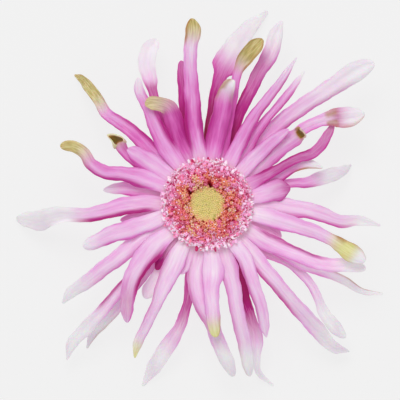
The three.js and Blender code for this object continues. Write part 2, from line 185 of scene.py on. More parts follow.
def make_streaks_group():
    """Fine lengthwise veins and soft blotches, from (across, along, number) coordinates in mm."""
    group = bpy.data.node_groups.new("veins", "ShaderNodeTree")
    sockets = group.interface
    sockets.new_socket(name="Vector", in_out="INPUT", socket_type="NodeSocketVector")
    for name in ("Veins per mm", "Blotches per mm"):
        sockets.new_socket(name=name, in_out="INPUT", socket_type="NodeSocketFloat")
    for name in ("Veins", "Blotches"):
        sockets.new_socket(name=name, in_out="OUTPUT", socket_type="NodeSocketFloat")
    given = group.nodes.new("NodeGroupInput").outputs
    put = group.nodes.new("NodeGroupOutput").inputs
    stretched = add(group, "ShaderNodeVectorMath", {0: given["Vector"], 1: (1, 0.09, 1)},
                    operation="MULTIPLY").outputs[0]
    fine = add(group, "ShaderNodeTexNoise", {"Vector": stretched, "Scale": given["Veins per mm"],
               "Detail": 2.0, "Roughness": 0.5, "Distortion": 0.3}).outputs["Fac"]
    even = add(group, "ShaderNodeMapRange", {"Value": fine, "From Min": 0.32, "From Max": 0.68})
    soft = add(group, "ShaderNodeVectorMath", {0: given["Vector"], 1: (1, 0.35, 1)},
               operation="MULTIPLY").outputs[0]
    blotches = add(group, "ShaderNodeTexNoise", {"Vector": soft, "Detail": 2.0,
                   "Scale": given["Blotches per mm"]}).outputs["Fac"]
    wide = add(group, "ShaderNodeMapRange", {"Value": blotches, "From Min": 0.3, "From Max": 0.7})
    group.links.new(even.outputs[0], put["Veins"])
    group.links.new(wide.outputs[0], put["Blotches"])
    return group


veins_group = make_streaks_group()


def veins(tree, per_mm, blotches_per_mm):
    """The veins group placed in a material, reading the mesh's own blade coordinates."""
    node = tree.nodes.new("ShaderNodeGroup")
    node.node_tree = veins_group
    tree.links.new(attribute(tree, "blade", "Vector"), node.inputs["Vector"])
    node.inputs["Veins per mm"].default_value = per_mm
    node.inputs["Blotches per mm"].default_value = blotches_per_mm
    return node.outputs["Veins"], node.outputs["Blotches"]


def new_material(name, roughness, subsurface, reach, sheen):
    """A soft plant surface: light enters it a little and leaves it tinted. reach is how far red,
    green and blue light travel in it, as shares of SUBSURFACE_SCALE."""
    material = bpy.data.materials.new(name)
    material.use_nodes = True
    tree = material.node_tree
    surface = tree.nodes["Principled BSDF"]
    surface.inputs["Roughness"].default_value = roughness
    surface.inputs["Specular IOR Level"].default_value = 0.3
    surface.inputs["Subsurface Weight"].default_value = subsurface
    surface.inputs["Subsurface Radius"].default_value = reach
    surface.inputs["Subsurface Scale"].default_value = SUBSURFACE_SCALE
    surface.inputs["Sheen Weight"].default_value = sheen
    return material, tree, surface


def add_bump(tree, surface, height, strength, distance):
    """Fine relief on a surface from a height between 0 and 1; distance is in mm."""
    bump = add(tree, "ShaderNodeBump", {"Height": height, "Strength": strength,
               "Distance": distance * MM})
    tree.links.new(bump.outputs["Normal"], surface.inputs["Normal"])


# ---------------------------------------------------------------- mesh tools


def shell_faces(rows, ring):
    """Quads of a closed skin over rows x ring points: bands between rings, and a capped end at the
    first and the last ring. Rings run anticlockwise seen from the last row, so faces point out."""
    row, spot = np.meshgrid(np.arange(rows - 1), np.arange(ring), indexing="ij")
    after = (spot + 1) % ring
    bands = np.stack([row * ring + spot, row * ring + after, (row + 1) * ring + after,
                      (row + 1) * ring + spot], axis=-1).reshape(-1, 4)
    pair = np.arange(ring // 2 - 1)
    cap = np.stack([pair, pair + 1, ring - 2 - pair, ring - 1 - pair], axis=1)
    return np.concatenate([bands, cap[:, ::-1], cap + (rows - 1) * ring])


def place(points):
    """Millimetres from the foot of the flower's axis, turned into metres in the frame."""
    return FOOT + points * MM


def make_piece(name, grids, marks, material, slot, *nodes):
    """A mesh of one or many closed skins. grids is copies x rows x ring x 3, and each mark is a value
    or a vector per point. The piece rides on the root and stands for the CAD nodes named."""
    copies, rows, ring, _ = grids.shape
    points = place(grids.reshape(-1, 3))
    one = shell_faces(rows, ring)
    faces = (one[None] + (np.arange(copies) * rows * ring)[:, None, None]).reshape(-1, 4)
    mesh = bpy.data.meshes.new(name)
    mesh.vertices.add(len(points))
    mesh.vertices.foreach_set("co", points.ravel())
    mesh.loops.add(faces.size)
    mesh.loops.foreach_set("vertex_index", faces.ravel())
    mesh.polygons.add(len(faces))
    mesh.polygons.foreach_set("loop_start", np.arange(0, faces.size, 4))
    mesh.update(calc_edges=True)
    mesh.validate()
    mesh.shade_smooth()
    for key, values in marks.items():
        flat = np.broadcast_to(values, grids.shape[:3] + np.shape(values)[3:])
        vector = flat.ndim == 4
        layer = mesh.attributes.new(key, "FLOAT_VECTOR" if vector else "FLOAT", "POINT")
        layer.data.foreach_set("vector" if vector else "value", flat.astype(np.float32).ravel())
    mesh.materials.append(material)
    piece = bpy.data.objects.new(name, mesh)
    bpy.context.scene.collection.objects.link(piece)
    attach(piece, "root")
    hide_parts(*nodes)


def unit(vectors):
    """Each vector made one long."""
    return vectors / np.maximum(np.linalg.norm(vectors, axis=-1, keepdims=True), 1e-9)


def smooth(value, start, end):
    """0 before the start, 1 after the end, and an S between them."""
    share = np.clip((value - start) / (end - start), 0, 1)
    return share * share * (3 - 2 * share)


def around(radius, bearing, height):
    """Points at a radius and a bearing in degrees round the flower's axis."""
    angle = np.radians(bearing)
    return np.stack(np.broadcast_arrays(radius * np.cos(angle), radius * np.sin(angle), height),
                    axis=-1)


# ---------------------------------------------------------------- petals: table

CLAW_RADII = (11.8, 10.6, 9.4)  # by tier, 0 the lowest
SHOULDER_RADIUS = 13.5
SHOULDER_RISE = 5.0
TIER_STEP = 1.8
PETAL_THICKNESS = 0.42
EDGE_THICKNESS = 0.12

PALE, OLIVE, LIME = "pale", "olive", "lime"


def petal(tier, claw, at, roll=(-30, -30), cup=-22, crease=6, tip=PALE, tip_from=99, tip_cup=0,
          deep=((0, 0),), edges=(0, 0), edge_span=(5, 30), tint=0.0, tube=False, rim=(0, 0),
          burn=(0, 1, 0, 0), olive_to=99, lip=(0, 0), glow=0):
    """One petal. at holds stations of its midline: [reach beyond the shoulder, bearing, lift above the
    shoulder, visible width]. roll turns the left and right edges up, in degrees; cup bends the whole
    section, and tip_cup adds to it beyond tip_from; crease folds it along the middle. tip is the
    colour that it turns to from tip_from on. deep gives (reach, share) of dark magenta, partly the
    petal's own colour and partly painted shade in its folds and in the gaps under other petals, which
    goes on to crimson above 1; edges is its share on the left and right edge over edge_span. tint
    makes the whole petal pinker. rim gives the browning of the left and right edge of the tip; burn a
    brown patch's reach, length, and shares on the left and right half; olive_to the reach where olive
    ends.
    A tube's tip stays open, and lip gives the length and bearing of the tongue at its mouth. glow:
    the share of a painted glow of the petal's own colour, which lifts it where it lies in shade."""
    return dict(locals())


# deep and edges in these rows are partly painted shade in folds and gaps; glow is a painted glow
PETALS = [
    petal(1, -2, [(9, -2, 0.9, 5), (17, -4, 2.3, 4.8), (27, -7.2, 2.5, 3.8), (32, -6, 2, 3),
          (39, -7.2, 0.5, 0.8)], roll=(-30, 70), edges=(0, 0.5), edge_span=(4, 34), tip_from=29,
          tint=-0.2),
    petal(2, 9, [(5, 10.5, 0.6, 4.6), (8.5, 11.5, 0.5, 5.6), (12, 11.5, -0.3, 4.4)],
          deep=((4, 0), (9, 0.3), (12, 0.9)), edges=(0, 0.5), edge_span=(6, 14)),
    petal(0, 14, [(7, 15, 0.5, 2.6), (12.7, 14, 0, 2.4), (17.4, 12.2, -1.5, 3.2),
          (21.7, 12.6, -4, 4.2), (26.1, 13.4, -8, 4.2), (29.3, 14, -12, 2.8),
          (31.9, 15.1, -16.8, 0.8)], deep=((0, 0.3), (12, 0.2), (18, 0)), tip_from=19),
    petal(1, 19, [(7, 19.8, 0.6, 3), (10.9, 21.3, 0.7, 3), (15.6, 22.5, 1, 3),
          (19.7, 21, 1, 2.6), (23, 17.5, 0, 1)], roll=(-30, 90), edges=(0, 0.9),
          edge_span=(2, 20), rim=(0, 0.9), tip_from=16, tint=0.05),
    petal(2, 25, [(5.5, 25.5, 0.6, 2.6), (12, 26.9, 1.6, 2.4), (17.4, 26.6, 1.6, 2.8),
          (21.2, 25.4, 0.6, 3.2), (24.9, 27.2, -0.8, 3.2), (28, 29.8, -2.4, 2.8),
          (31.4, 32.4, -4.2, 1.6)], roll=(-20, 50), edges=(1.2, 0.8), edge_span=(3, 24),
          deep=((0, 0.1), (5, 0.5), (14, 0.8), (22, 0.5), (30, 0.6)), tint=0.1),
    petal(0, 31, [(7, 33.5, 0.5, 3), (15, 36.5, 0, 3.4), (23.2, 37.8, 0.5, 3.6),
          (28.5, 36.1, 1, 3.4), (31, 34.9, 1.3, 4.4), (33, 34, 1.4, 5.8), (36.2, 31.8, 1.6, 6.2),
          (41, 29.7, 1.4, 3.6)], roll=(-30, 70), tip_from=35, cup=-20, rim=(0, 0.7),
          edges=(0, 0.85), edge_span=(31, 38), burn=(32, 2.2, 1.2, 2.4),
          deep=((31.5, 0), (33.8, 0.75), (37, 0)), tint=-0.2),
    petal(1, 36, [(8.2, 37.5, 0.9, 5), (14, 38, 1.6, 5.6), (18.7, 37.2, 2.6, 5),
          (21.4, 37, 4.2, 4.0), (22.9, 37, 6.2, 3.9)], tip=OLIVE, tip_from=21.5, tip_cup=170,
          tube=True, tint=-0.3, lip=(1.2, 150), burn=(22.4, 2, 1.2, 0)),
    petal(2, 43, [(7, 44, 1, 3.6), (14, 43.5, 2.8, 3.6), (19.6, 42.1, 3.8, 1.8)], tint=-0.3),
    petal(0, 48, [(7, 49.5, 0.5, 4), (18.8, 48.2, 1, 4.7), (25.6, 46.1, 2, 4.8),
          (32.2, 44.3, 3, 4.9), (38.9, 42.9, 4, 5.4), (45.6, 41.8, 5, 6.2),
          (52.1, 40.3, 6, 3.8)], crease=10, edges=(0, 0.3), edge_span=(12, 44), tip_from=41,
          tint=-0.5),
    petal(1, 55, [(7, 55.5, 0.8, 3.4), (14, 55, 1.6, 2.8), (20.8, 54.4, 2, 2.4),
          (26.6, 53.8, 2.2, 2.6), (31.4, 53.5, 2.2, 1.9), (36, 53.6, 2, 0.6)], roll=(-30, 40),
          edges=(0, 0.5), edge_span=(6, 34), tip_from=31, tint=-0.2),
    petal(2, 61, [(7, 62.3, 0.8, 3.6), (14, 62, 2, 3.6), (19.7, 60.9, 2.8, 3.1),
          (25.3, 59.8, 3.4, 2.8), (30.9, 58.9, 3.8, 2.2), (37.9, 58.4, 4, 0.6)], roll=(-30, 40),
          edges=(0, 0.6), edge_span=(6, 36), tip_from=35, tint=-0.15),
    petal(0, 68, [(7, 70, 0.5, 3.4), (16.9, 70.3, 0, 3.6), (23.2, 69, -0.5, 3.9),
          (29.5, 68, -1, 4.1), (35.5, 67.1, -1.5, 4.9), (41, 67.8, -2, 4.4),
          (46.1, 67.7, -3, 1.6)], roll=(20, -30), deep=((3, 0.8), (8, 1.5), (14, 1.1), (22, 0.8),
          (29, 0.45), (35, 0.1)), edges=(1.3, 0), edge_span=(4, 26), tip_from=36.5),
    petal(1, 75, [(7, 75.5, 0.8, 3.2), (17, 76.4, 1.8, 3.2), (23, 76.8, 2.4, 2.6),
          (27, 76.8, 2.8, 2.8), (32, 75, 3.2, 4.6), (35.6, 73.2, 3.6, 4.6), (38.7, 71.4, 3.6, 2.6)],
          roll=(0, 0), tip=OLIVE, tip_from=28.5, cup=-5, tip_cup=75, rim=(0.3, 1)),
    petal(2, 83, [(7, 82, 0.8, 4.8), (16, 81, 2.6, 5.4), (20, 80.4, 3.6, 4.8),
          (22.6, 79.2, 4.8, 4), (24.4, 77.5, 5, 3)], tip_from=19, rim=(0.9, 0.2), tip_cup=40,
          burn=(22.5, 2, 0.7, 0), edges=(0.9, 0.4), edge_span=(4, 15), tint=-0.05),
    petal(0, 90, [(7, 89, 0.5, 2.4), (14.5, 87.3, 0, 2.4), (22, 85.2, -1.5, 3.2),
          (25.5, 83.9, -2.6, 4.2), (28.5, 82.6, -3.8, 8.2), (34.8, 79.4, -7, 7.2),
          (41, 76.6, -11, 4.8), (47.7, 72.4, -17, 1.4)],
          deep=((-3, 1.3), (6, 1.8), (12, 1.5), (19, 1.1), (25, 0.6), (31, 0)),
          edges=(0.4, 1.4), edge_span=(4, 20), tip_from=30),
    petal(2, 98, [(9.6, 99.3, 1.2, 4.6), (18.5, 98, 2.6, 4.6), (27.6, 96.8, 3.5, 4),
          (33.5, 96, 4, 4), (38.5, 94.7, 4, 4.7), (42.3, 94.6, 3.6, 2.8)], roll=(40, -30),
          tip=OLIVE, tip_from=36, rim=(0.9, 0), tint=-0.3, edges=(1.2, 0.7), edge_span=(4, 17)),
    petal(0, 106, [(7, 104.6, 0.5, 2.8), (16.1, 103.4, 0, 3.2), (23.5, 101.2, -0.5, 3.2),
          (30.3, 100.1, -1, 2.2)], deep=((-3, 1.3), (6, 1.7), (12, 1.5), (19, 0.9), (30, 0.6)),
          edges=(0, 1.5), edge_span=(8, 26)),
    petal(1, 111, [(7.8, 112.6, 1, 5), (14.2, 111.5, 2.8, 5.4), (17.5, 111.8, 4.8, 4.8),
          (19.6, 115.0, 6.6, 4.2), (21, 118.8, 7.4, 4.2), (21.6, 122, 7.2, 3)], roll=(0, 0),
          cup=-10, tip=OLIVE, tip_from=18, tip_cup=20, edges=(0.6, 1.3), edge_span=(5, 15)),
    petal(0, 118, [(7, 119, 0.5, 2.8), (15, 118, 0, 2.6), (24, 115.9, -1.5, 2.8),
          (27.8, 114.3, -2.6, 4.4), (32.3, 113, -4, 5.4), (35.7, 110.6, -5.5, 5),
          (38.5, 107, -7, 3)], roll=(0, 30), cup=-10,
          deep=((0, 0.8), (6, 1.4), (12, 0.9), (20, 0.7), (25, 0.8), (28, 0)),
          tip_from=27, tip_cup=50, tint=-0.4, glow=0.3),
    petal(2, 125, [(7, 125.8, 0.8, 4.6), (15.2, 122.9, 2, 4.4), (20.8, 121.6, 2.6, 3.4),
          (25.9, 121.1, 3, 3), (29.5, 118.4, 3.4, 1.8)], roll=(-30, 30), tip_from=26, tint=-0.25,
          edges=(0, 1.1), edge_span=(6, 18)),
    petal(1, 134, [(5, 136, 0.6, 4), (10.6, 136.5, 1.4, 4.2), (17, 136.2, 1.8, 4.2),
          (22.7, 137, 0.5, 3.8), (27, 138, -1.5, 3.4), (31.3, 136.4, -4.5, 3.2),
          (36.4, 135.2, -10, 3.2), (40, 135, -15, 2.2), (42.5, 135.9, -18.8, 0.7)],
          roll=(-30, 50), edges=(0, 0.9), edge_span=(8, 24), tip=OLIVE, tip_from=29, tip_cup=40),
    petal(2, 143, [(7, 144, 0.8, 4.8), (12, 145, 2, 4.6), (15.5, 146, 2.6, 3)], tint=-0.2),
    petal(0, 150, [(9, 150.3, 0.6, 2.6), (15, 148.2, 2, 3), (18.8, 145, 4.5, 3.8),
          (20.6, 143, 7.4, 4.4)], roll=(0, 0), tip=LIME, tip_from=18.5, tip_cup=170, tube=True,
          edges=(0, 0.4), edge_span=(4, 18), lip=(2.4, 172)),
    petal(2, 157, [(7.7, 158, 0.9, 4.8), (13.1, 160.5, 2, 4), (18.7, 162.6, 2.6, 4.1),
          (23.4, 160.6, 3, 3.6), (26.2, 157.6, 3.2, 3.4), (30.1, 156.8, 3, 3.4),
          (33.8, 158.5, 2.6, 2.8)], roll=(-30, -30), edges=(0.8, 0), edge_span=(6, 26),
          tip=OLIVE, tip_from=25),
    petal(0, 170, [(8.3, 168.3, 0.5, 4), (14, 170.2, 0, 3.2), (18, 172.2, -1, 1.4)], tip_from=13, tint=-0.1),
    petal(1, 180, [(5, 179, 0.6, 4), (11.6, 181.6, 1.5, 4.8), (17.3, 184.2, 1.8, 4.6),
          (23, 184.9, 1, 4.2), (28.2, 184.4, -1.5, 4.2), (32.8, 184.8, -5, 5.4),
          (36.6, 185.3, -9.4, 6.4), (41, 184.8, -14.4, 4.6), (44.4, 184.4, -18.6, 2)],
          roll=(70, -30), edges=(1.2, 0), edge_span=(3, 34), tip_from=24, tint=-0.1),
    petal(0, 189, [(7, 189.5, 0.5, 3), (13, 190.5, -0.5, 1.4)], deep=((0, 0.3), (12, 0.4))),
    petal(2, 196, [(5, 198, 0.6, 4), (11, 198, 2, 5), (17, 197.5, 3, 5), (21.7, 198.8, 3, 4.2),
          (25.8, 199.2, 2.4, 3.6)], tip_from=21, tint=-0.1),
    petal(1, 204, [(5, 206, 0.6, 4), (11.2, 208.6, 1.4, 4.8), (17.4, 211, 2, 4.8),
          (23.6, 212.1, 2, 4.5), (29.7, 212.9, 1, 4.2), (35.1, 213, -1, 3.4),
          (39.3, 214.6, -3.5, 1)], edges=(0.3, 0), edge_span=(6, 34), tip_from=28, tint=-0.15),
    petal(1, 218, [(8, 220, 0.9, 3.2), (17, 223.5, 0.8, 3.2), (24.8, 224.7, -0.5, 3.4),
          (31.4, 225.8, -2.5, 3.6), (38.3, 225.7, -5.5, 4.2), (44.4, 225.9, -9, 3.6),
          (49.8, 228.2, -12.5, 0.8)], roll=(-30, 50), edges=(0, 0.9), edge_span=(14, 32),
          tip_from=33, tint=-0.1, glow=0.3),
    petal(2, 218, [(8, 219, 0.9, 5.6), (15.8, 223.5, 2.2, 5.6), (21.6, 228.2, 2.4, 4.8),
          (26.2, 232.5, 1.6, 3.8), (29.4, 236, 0.4, 1.8)], roll=(60, -30), edges=(1.3, 0),
          edge_span=(6, 24), tint=0.05, deep=((17, 0), (24, 0.4), (29, 0.2))),
    petal(0, 226, [(8, 227, 0.4, 2.8), (17, 228.3, -1, 3), (28.6, 229.1, -5.5, 3.4),
          (34.4, 228.6, -9, 3.4), (38.7, 228.9, -12.5, 2.6), (43.4, 230.3, -17.2, 0.7)],
          deep=((8, 0.1), (20, 0.4), (26, 0)), rim=(0.6, 0), tip_from=29),
    petal(1, 230, [(6, 230.5, 0.7, 3.6), (11.5, 232, 0.8, 1.8)], deep=((4, 0.5), (10, 1.3))),
    petal(0, 237, [(7, 237, 0.4, 4.2), (17, 236.5, -0.5, 4.6), (20.5, 236.5, -1, 4)],
          tip_from=9, tint=-0.6),
    petal(2, 240, [(7, 241, 0.8, 5), (13.7, 242, 1.8, 4.8), (20, 243.3, 2.4, 3.3),
          (27.6, 243.3, 2, 3), (33, 243.6, 0.8, 2.8), (37.5, 245, -0.6, 0.8)],
          tip=LIME, tip_from=33, edges=(0, 0.3), tint=-0.1),
    petal(1, 248, [(6, 249, 0.6, 3.6), (9, 249.5, 0.4, 2)]),
    petal(0, 256, [(9, 257.2, 0.4, 3), (16.3, 259, -0.8, 2.6), (24, 257.4, -3.5, 3.4),
          (31.3, 254.5, -8, 4.8), (38, 252, -12.6, 4.6), (45, 250.5, -17.3, 1.2)],
          deep=((4, 0.3), (9, 0.9), (18, 0.9), (26, 0.2), (31, 0)), tip_from=30, glow=0.5),
    petal(1, 263, [(9, 261.5, 1, 4.4), (17, 266.5, 1.6, 4.4), (22, 272.2, 1.2, 4.3),
          (28.3, 275, -0.5, 4.3), (34, 277, -3, 4.2), (39, 279, -6, 2.4)],
          edges=(0, 0.5), edge_span=(4, 24), tip_from=29, tint=-0.1),
    petal(2, 275, [(7, 275, 0.8, 5.4), (12, 272.7, 2, 4.2), (20.5, 273.2, 4, 4.2),
          (26.5, 273.8, 3, 3)], tip=LIME, tip_from=21.5, rim=(0.4, 0)),
    petal(1, 291, [(7, 288, 0.8, 5), (11, 287.7, 1.2, 4.2), (21, 285.7, 1.5, 4.2),
          (29.6, 285, 0, 4.2), (36, 284.5, -3, 3.6), (40, 284, -5.5, 1.8)],
          edges=(0, 0.3), tip_from=31, rim=(0, 0.4)),
    petal(0, 298, [(7, 295, 0.5, 3.4), (16, 291.6, -0.6, 3.8), (24, 290.5, -3.5, 4),
          (30, 289.6, -6.5, 4.5), (35, 287.7, -9.5, 3), (40, 287.1, -13, 1.8),
          (45.2, 290, -17.2, 0.8)], deep=((4, 0.9), (8, 1.5), (17, 1.4), (25, 0.6), (31, 0)),
          tip_from=33, glow=0.4),
    petal(2, 305, [(6.5, 304.5, 0.8, 3.6), (14, 300.5, 2, 3.8), (21.6, 297.4, 2.5, 3.6),
          (27, 295.1, 2, 3), (30.3, 294.2, 1, 0.8)], edges=(0, 0.5), edge_span=(6, 26)),
    petal(1, 311, [(6, 312.5, 0.7, 4), (13, 311.3, 1.2, 4.3), (22, 311.2, 0.5, 4.3),
          (30, 311.3, -2, 4.6), (37, 311.2, -6, 4.8), (44, 311.7, -11, 3.6),
          (48.5, 314, -14.5, 0.8)], roll=(-30, 50), edges=(0, 0.8), edge_span=(4, 30),
          tip_from=38, tint=-0.1),
    petal(0, 313, [(7, 318, -1, 2.2), (16, 323.7, -2.2, 2.4), (22, 323.5, -3, 2.6),
          (27, 322, -3.6, 2.6), (31, 319.2, -4, 2.6), (34.5, 317, -4.5, 3.4), (40, 316.2, -6, 4),
          (44.6, 316.1, -7, 2)], deep=((0, 0.5), (14, 0.3), (24, 0)),
          tip_from=30),
    petal(0, 324, [(7, 325, 0.6, 2.4), (20, 327.2, 0, 2.6), (27, 329.6, -3, 2.8),
          (34, 330.8, -8, 2.6), (41, 330.8, -14, 1.8), (46.5, 332.9, -17.4, 0.6)],
          roll=(30, -30), tip_from=30, rim=(0.6, 0.2), edges=(0.3, 0), glow=0.8),
    petal(1, 328, [(8, 328, 0.9, 4.4), (17, 330.5, 2, 4.2), (26, 333, 2.4, 4),
          (33, 336.5, 2.4, 4), (38, 337.7, 2.4, 2.4)], roll=(60, -30), edges=(0.8, 0), glow=1.4,
          edge_span=(4, 26), tip_from=29),
    petal(0, 339, [(7, 337, 0.6, 3.6), (11, 335.5, 0.2, 2.4)], deep=((0, 0.3), (11, 0.35)), tip_from=11),
    petal(2, 348, [(7, 347.5, 0.8, 4.4), (17, 346, 3.5, 4.4), (25, 344, 5.7, 3.4),
          (28, 343, 6.1, 4.4), (32, 341.5, 6.5, 5.6), (36.8, 340, 6, 4.2)], tip=LIME,
          tip_from=25, rim=(0.5, 0), tint=-0.15, burn=(27.5, 2, 0.6, 0.1), olive_to=33),
]


# ---------------------------------------------------------------- petals: shape

PETAL_ROWS = 76
PETAL_COLUMNS = 21
CLAW_WIDTHS = (1.4, 1.6, 4.2)  # at its foot, its top and the shoulder
CLAW_REACHES = (-5.0, -2.0, 0.0)
BASE_WIDENING = 0.3  # share by which a blade is wider where it leaves the shoulder
TIP_CLOSENESS = 1.4
TIP_ROUNDING = 0.7
LEAST_WIDTH = 0.06
RIBS = 5  # veins that stand proud across the blade
RIB_HEIGHT = 0.035
RUFFLE_HEIGHT = 0.16
RUFFLE_LENGTH = 10.5
FURROWS = (6, 17)  # least and greatest swing, in degrees
SWAY = 0.12
TONGUE_LENGTH = 2.2
TONGUE_RISE = 0.3


def smooth_curve(points, share):
    """A centripetal Catmull-Rom curve: a cubic between each two points whose end slopes come from
    the points around them, each step weighted by the root of its length."""
    held = np.vstack([2 * points[0] - points[1], points, 2 * points[-1] - points[-2]])
    spans = len(points) - 1
    span = np.minimum((share * spans).astype(int), spans - 1)
    t = (share * spans - span)[:, None]
    a, b, c, d = (held[span + k] for k in range(4))
    before, between, after = (np.sqrt(np.linalg.norm(q - p, axis=1))[:, None]
                              for p, q in ((a, b), (b, c), (c, d)))
    out = ((b - a) / before - (c - a) / (before + between) + (c - b) / between) * between
    into = ((c - b) / between - (d - b) / (between + after) + (d - c) / after) * between
    return (((2 * (b - c) + out + into) * t - 3 * (b - c) - 2 * out - into) * t + out) * t + b


def petal_stations(row):
    """The midline's points, widths and reaches: the claw's foot and top, the shoulder, the blade."""
    tier, claw = row["tier"], row["claw"]
    radius, shoulder = CLAW_RADII[tier], PLATE_Z + SHOULDER_RISE + tier * TIER_STEP
    reach, bearing, lift, width = np.array(row["at"], float).T
    width = width * (1 + BASE_WIDENING * (1 - smooth(reach, 4, 17)))
    base = around(np.array([radius, radius, SHOULDER_RADIUS]), claw,
                  np.array([PLATE_Z + 0.3, shoulder - TIER_STEP, shoulder]))
    blade = around(SHOULDER_RADIUS + reach, bearing, shoulder + lift)
    return (np.vstack([base, blade]), np.concatenate([CLAW_WIDTHS, width]),
            np.concatenate([CLAW_REACHES, reach]))


def petal_midline(row):
    """Points, widths, reaches and lengths run at each row. Rows are evenly spaced by length, but
    closer at the tip. The width eases from station to station, and a tip that isn't a tube's closes
    as a quarter circle does."""
    points, widths, reaches = petal_stations(row)
    fine = np.linspace(0, 1, 500)
    path = smooth_curve(points, fine)
    travelled = np.concatenate([[0], np.cumsum(np.linalg.norm(np.diff(path, axis=0), axis=1))])
    length = travelled[-1]
    run = length * (1 - (1 - np.linspace(0, 1, PETAL_ROWS)) ** TIP_CLOSENESS)
    share = np.interp(run, travelled, fine)
    station = share * (len(points) - 1)
    span = np.minimum(station.astype(int), len(points) - 2)
    width = widths[span] + (widths[span + 1] - widths[span]) * smooth(station - span, 0, 1)
    to_go = length - run
    rounding = np.clip(1 - to_go / (TIP_ROUNDING * widths[-1] + 0.3), 0, 1) * (not row["tube"])
    width = width * np.maximum(np.sqrt(1 - rounding ** 2), LEAST_WIDTH)
    reach = np.interp(station, np.arange(len(points)), reaches)
    return smooth_curve(points, share), width, reach, run


def level_frames(path, claw):
    """Tangent, left and up at each row. Left stays level: it is square to the way that the path
    heads seen from above, or to the claw's bearing where the path stands upright."""
    tangent = unit(np.gradient(path, axis=0))
    outward = np.array([np.cos(np.radians(claw)), np.sin(np.radians(claw)), 0])
    heading = unit(tangent * (1, 1, 0) + outward * 0.3 * np.clip(tangent[:, 2:], 0, 1) ** 2)
    left = np.stack([-heading[:, 1], heading[:, 0], 0 * heading[:, 0]], axis=1)
    left = unit(left - tangent * (left * tangent).sum(1, keepdims=True))
    return tangent, left, np.cross(tangent, left)


def petal_section(across, cup, roll_left, roll_right, crease, furrow, shift):
    """A bent strip: its slope grows evenly across it by cup, faster beyond a third of the way to an
    edge by that edge's roll, jumps by crease at the middle, and swings by furrow over two waves
    moved by shift. Its points are the summed slopes."""
    near_left = np.clip((across - 0.3) / 0.7, 0, 1) ** 1.4
    near_right = np.clip((-across - 0.3) / 0.7, 0, 1) ** 1.4
    slope = (cup * across + roll_left * near_left - roll_right * near_right
             + crease * np.tanh(across / 0.12) + furrow * np.sin(2 * np.pi * across + shift))
    step = across[..., 1:] - across[..., :-1]
    middle = (slope[..., 1:] + slope[..., :-1]) / 2
    zero = np.zeros(slope.shape[:-1] + (1,))
    sideways = np.concatenate([zero, np.cumsum(np.cos(middle) * step, axis=-1)], axis=-1)
    upwards = np.concatenate([zero, np.cumsum(np.sin(middle) * step, axis=-1)], axis=-1)
    centre = across.shape[-1] // 2
    return (sideways - sideways[..., centre:centre + 1], upwards - upwards[..., centre:centre + 1],
            slope)


def petal_grid(row):
    """The petal's closed skin as rows x ring points, and the marks that its material reads. Each row
    is a petal_section scaled to the row's width, with ruffled and slightly ragged edges and RIBS
    veins, offset to both sides by half a thickness that thins towards the edges, and set square to
    the midline, which sways. At a tube's mouth the middle is drawn out into a tongue by the lip."""
    path, width, reach, run = petal_midline(row)
    tangent, left, up = level_frames(path, row["claw"])
    length = run[-1]
    share = (run / length)[:, None]
    across = np.linspace(-1, 1, PETAL_COLUMNS)[None]
    beyond = smooth(reach, 0, 8)[:, None]
    phase = rng.uniform(0, 2 * np.pi, 6)
    sway = 1 + 0.35 * np.sin(2 * np.pi * share * 2.3 + phase[0]) + 0.2 * np.sin(23 * share + phase[1])
    ends = smooth(reach, row["tip_from"] - 2, row["tip_from"] + 3)[:, None]
    cup = np.radians(row["cup"] + row["tip_cup"] * ends) * (0.5 + 0.5 * beyond)
    roll_left = np.radians(row["roll"][0]) * beyond * sway
    roll_right = np.radians(row["roll"][1]) * beyond * (2 - sway)
    crease = np.radians(row["crease"]) * beyond
    furrow = np.radians(rng.uniform(*FURROWS)) * beyond
    furrow = furrow * (1 + 0.5 * np.sin(run[:, None] / 5 + phase[4]))
    shift = phase[5] + 0.9 * np.sin(run[:, None] / 9 + phase[0])
    x, y, slope = petal_section(np.broadcast_to(across, (PETAL_ROWS, PETAL_COLUMNS)), cup,
                                roll_left, roll_right, crease, furrow, shift)
    scale = np.minimum(width[:, None] / np.ptp(x, axis=1, keepdims=True), width[:, None])
    ruffle = RUFFLE_HEIGHT * across ** 2 * np.sin(2 * np.pi * run[:, None] / RUFFLE_LENGTH
                                                  + phase[2] + 2 * across)
    ragged = (0.035 * np.sin(run[:, None] / 1.15 + phase[1] + 2.1 * np.sign(across))
              + 0.02 * np.sin(run[:, None] / 0.47 + phase[2] + 1.3 * np.sign(across)))
    ribs = RIB_HEIGHT * np.cos(np.pi * RIBS * across) * (1 - across ** 4) * beyond
    fullness = np.minimum(1, width[:, None] / 2)
    x = x * scale * (1 + ragged * beyond * (1 - 0.7 * ends) * across ** 2)
    y = y * scale + ruffle * beyond * fullness
    ring = np.concatenate([np.arange(PETAL_COLUMNS)[::-1], np.arange(PETAL_COLUMNS)])
    side = np.repeat([1.0, -1.0], PETAL_COLUMNS)[None]
    thickness = EDGE_THICKNESS + (PETAL_THICKNESS - EDGE_THICKNESS) * (1 - across ** 4)
    rise = (ribs[:, ring] + side * thickness[:, ring] / 2) * fullness
    x = x[:, ring] - np.sin(slope[:, ring]) * rise
    y = y[:, ring] + np.cos(slope[:, ring]) * rise
    aside = SWAY * np.sin(2 * np.pi * run / 19 + phase[3]) * beyond[:, 0]
    grid = (path[:, None] + (x + aside[:, None])[..., None] * left[:, None]
            + y[..., None] * up[:, None])
    tongue = (np.exp(-(across[:, ring] / 0.35) ** 2)
              * smooth(TONGUE_LENGTH - (length - run[:, None]), 0, TONGUE_LENGTH))[..., None]
    lip_length, lip_bearing = row["lip"]
    grid = grid + tongue * around(lip_length, lip_bearing, TONGUE_RISE * (lip_length > 0))
    return grid, petal_marks(row, reach, run, width, across[:, ring], side, shift)


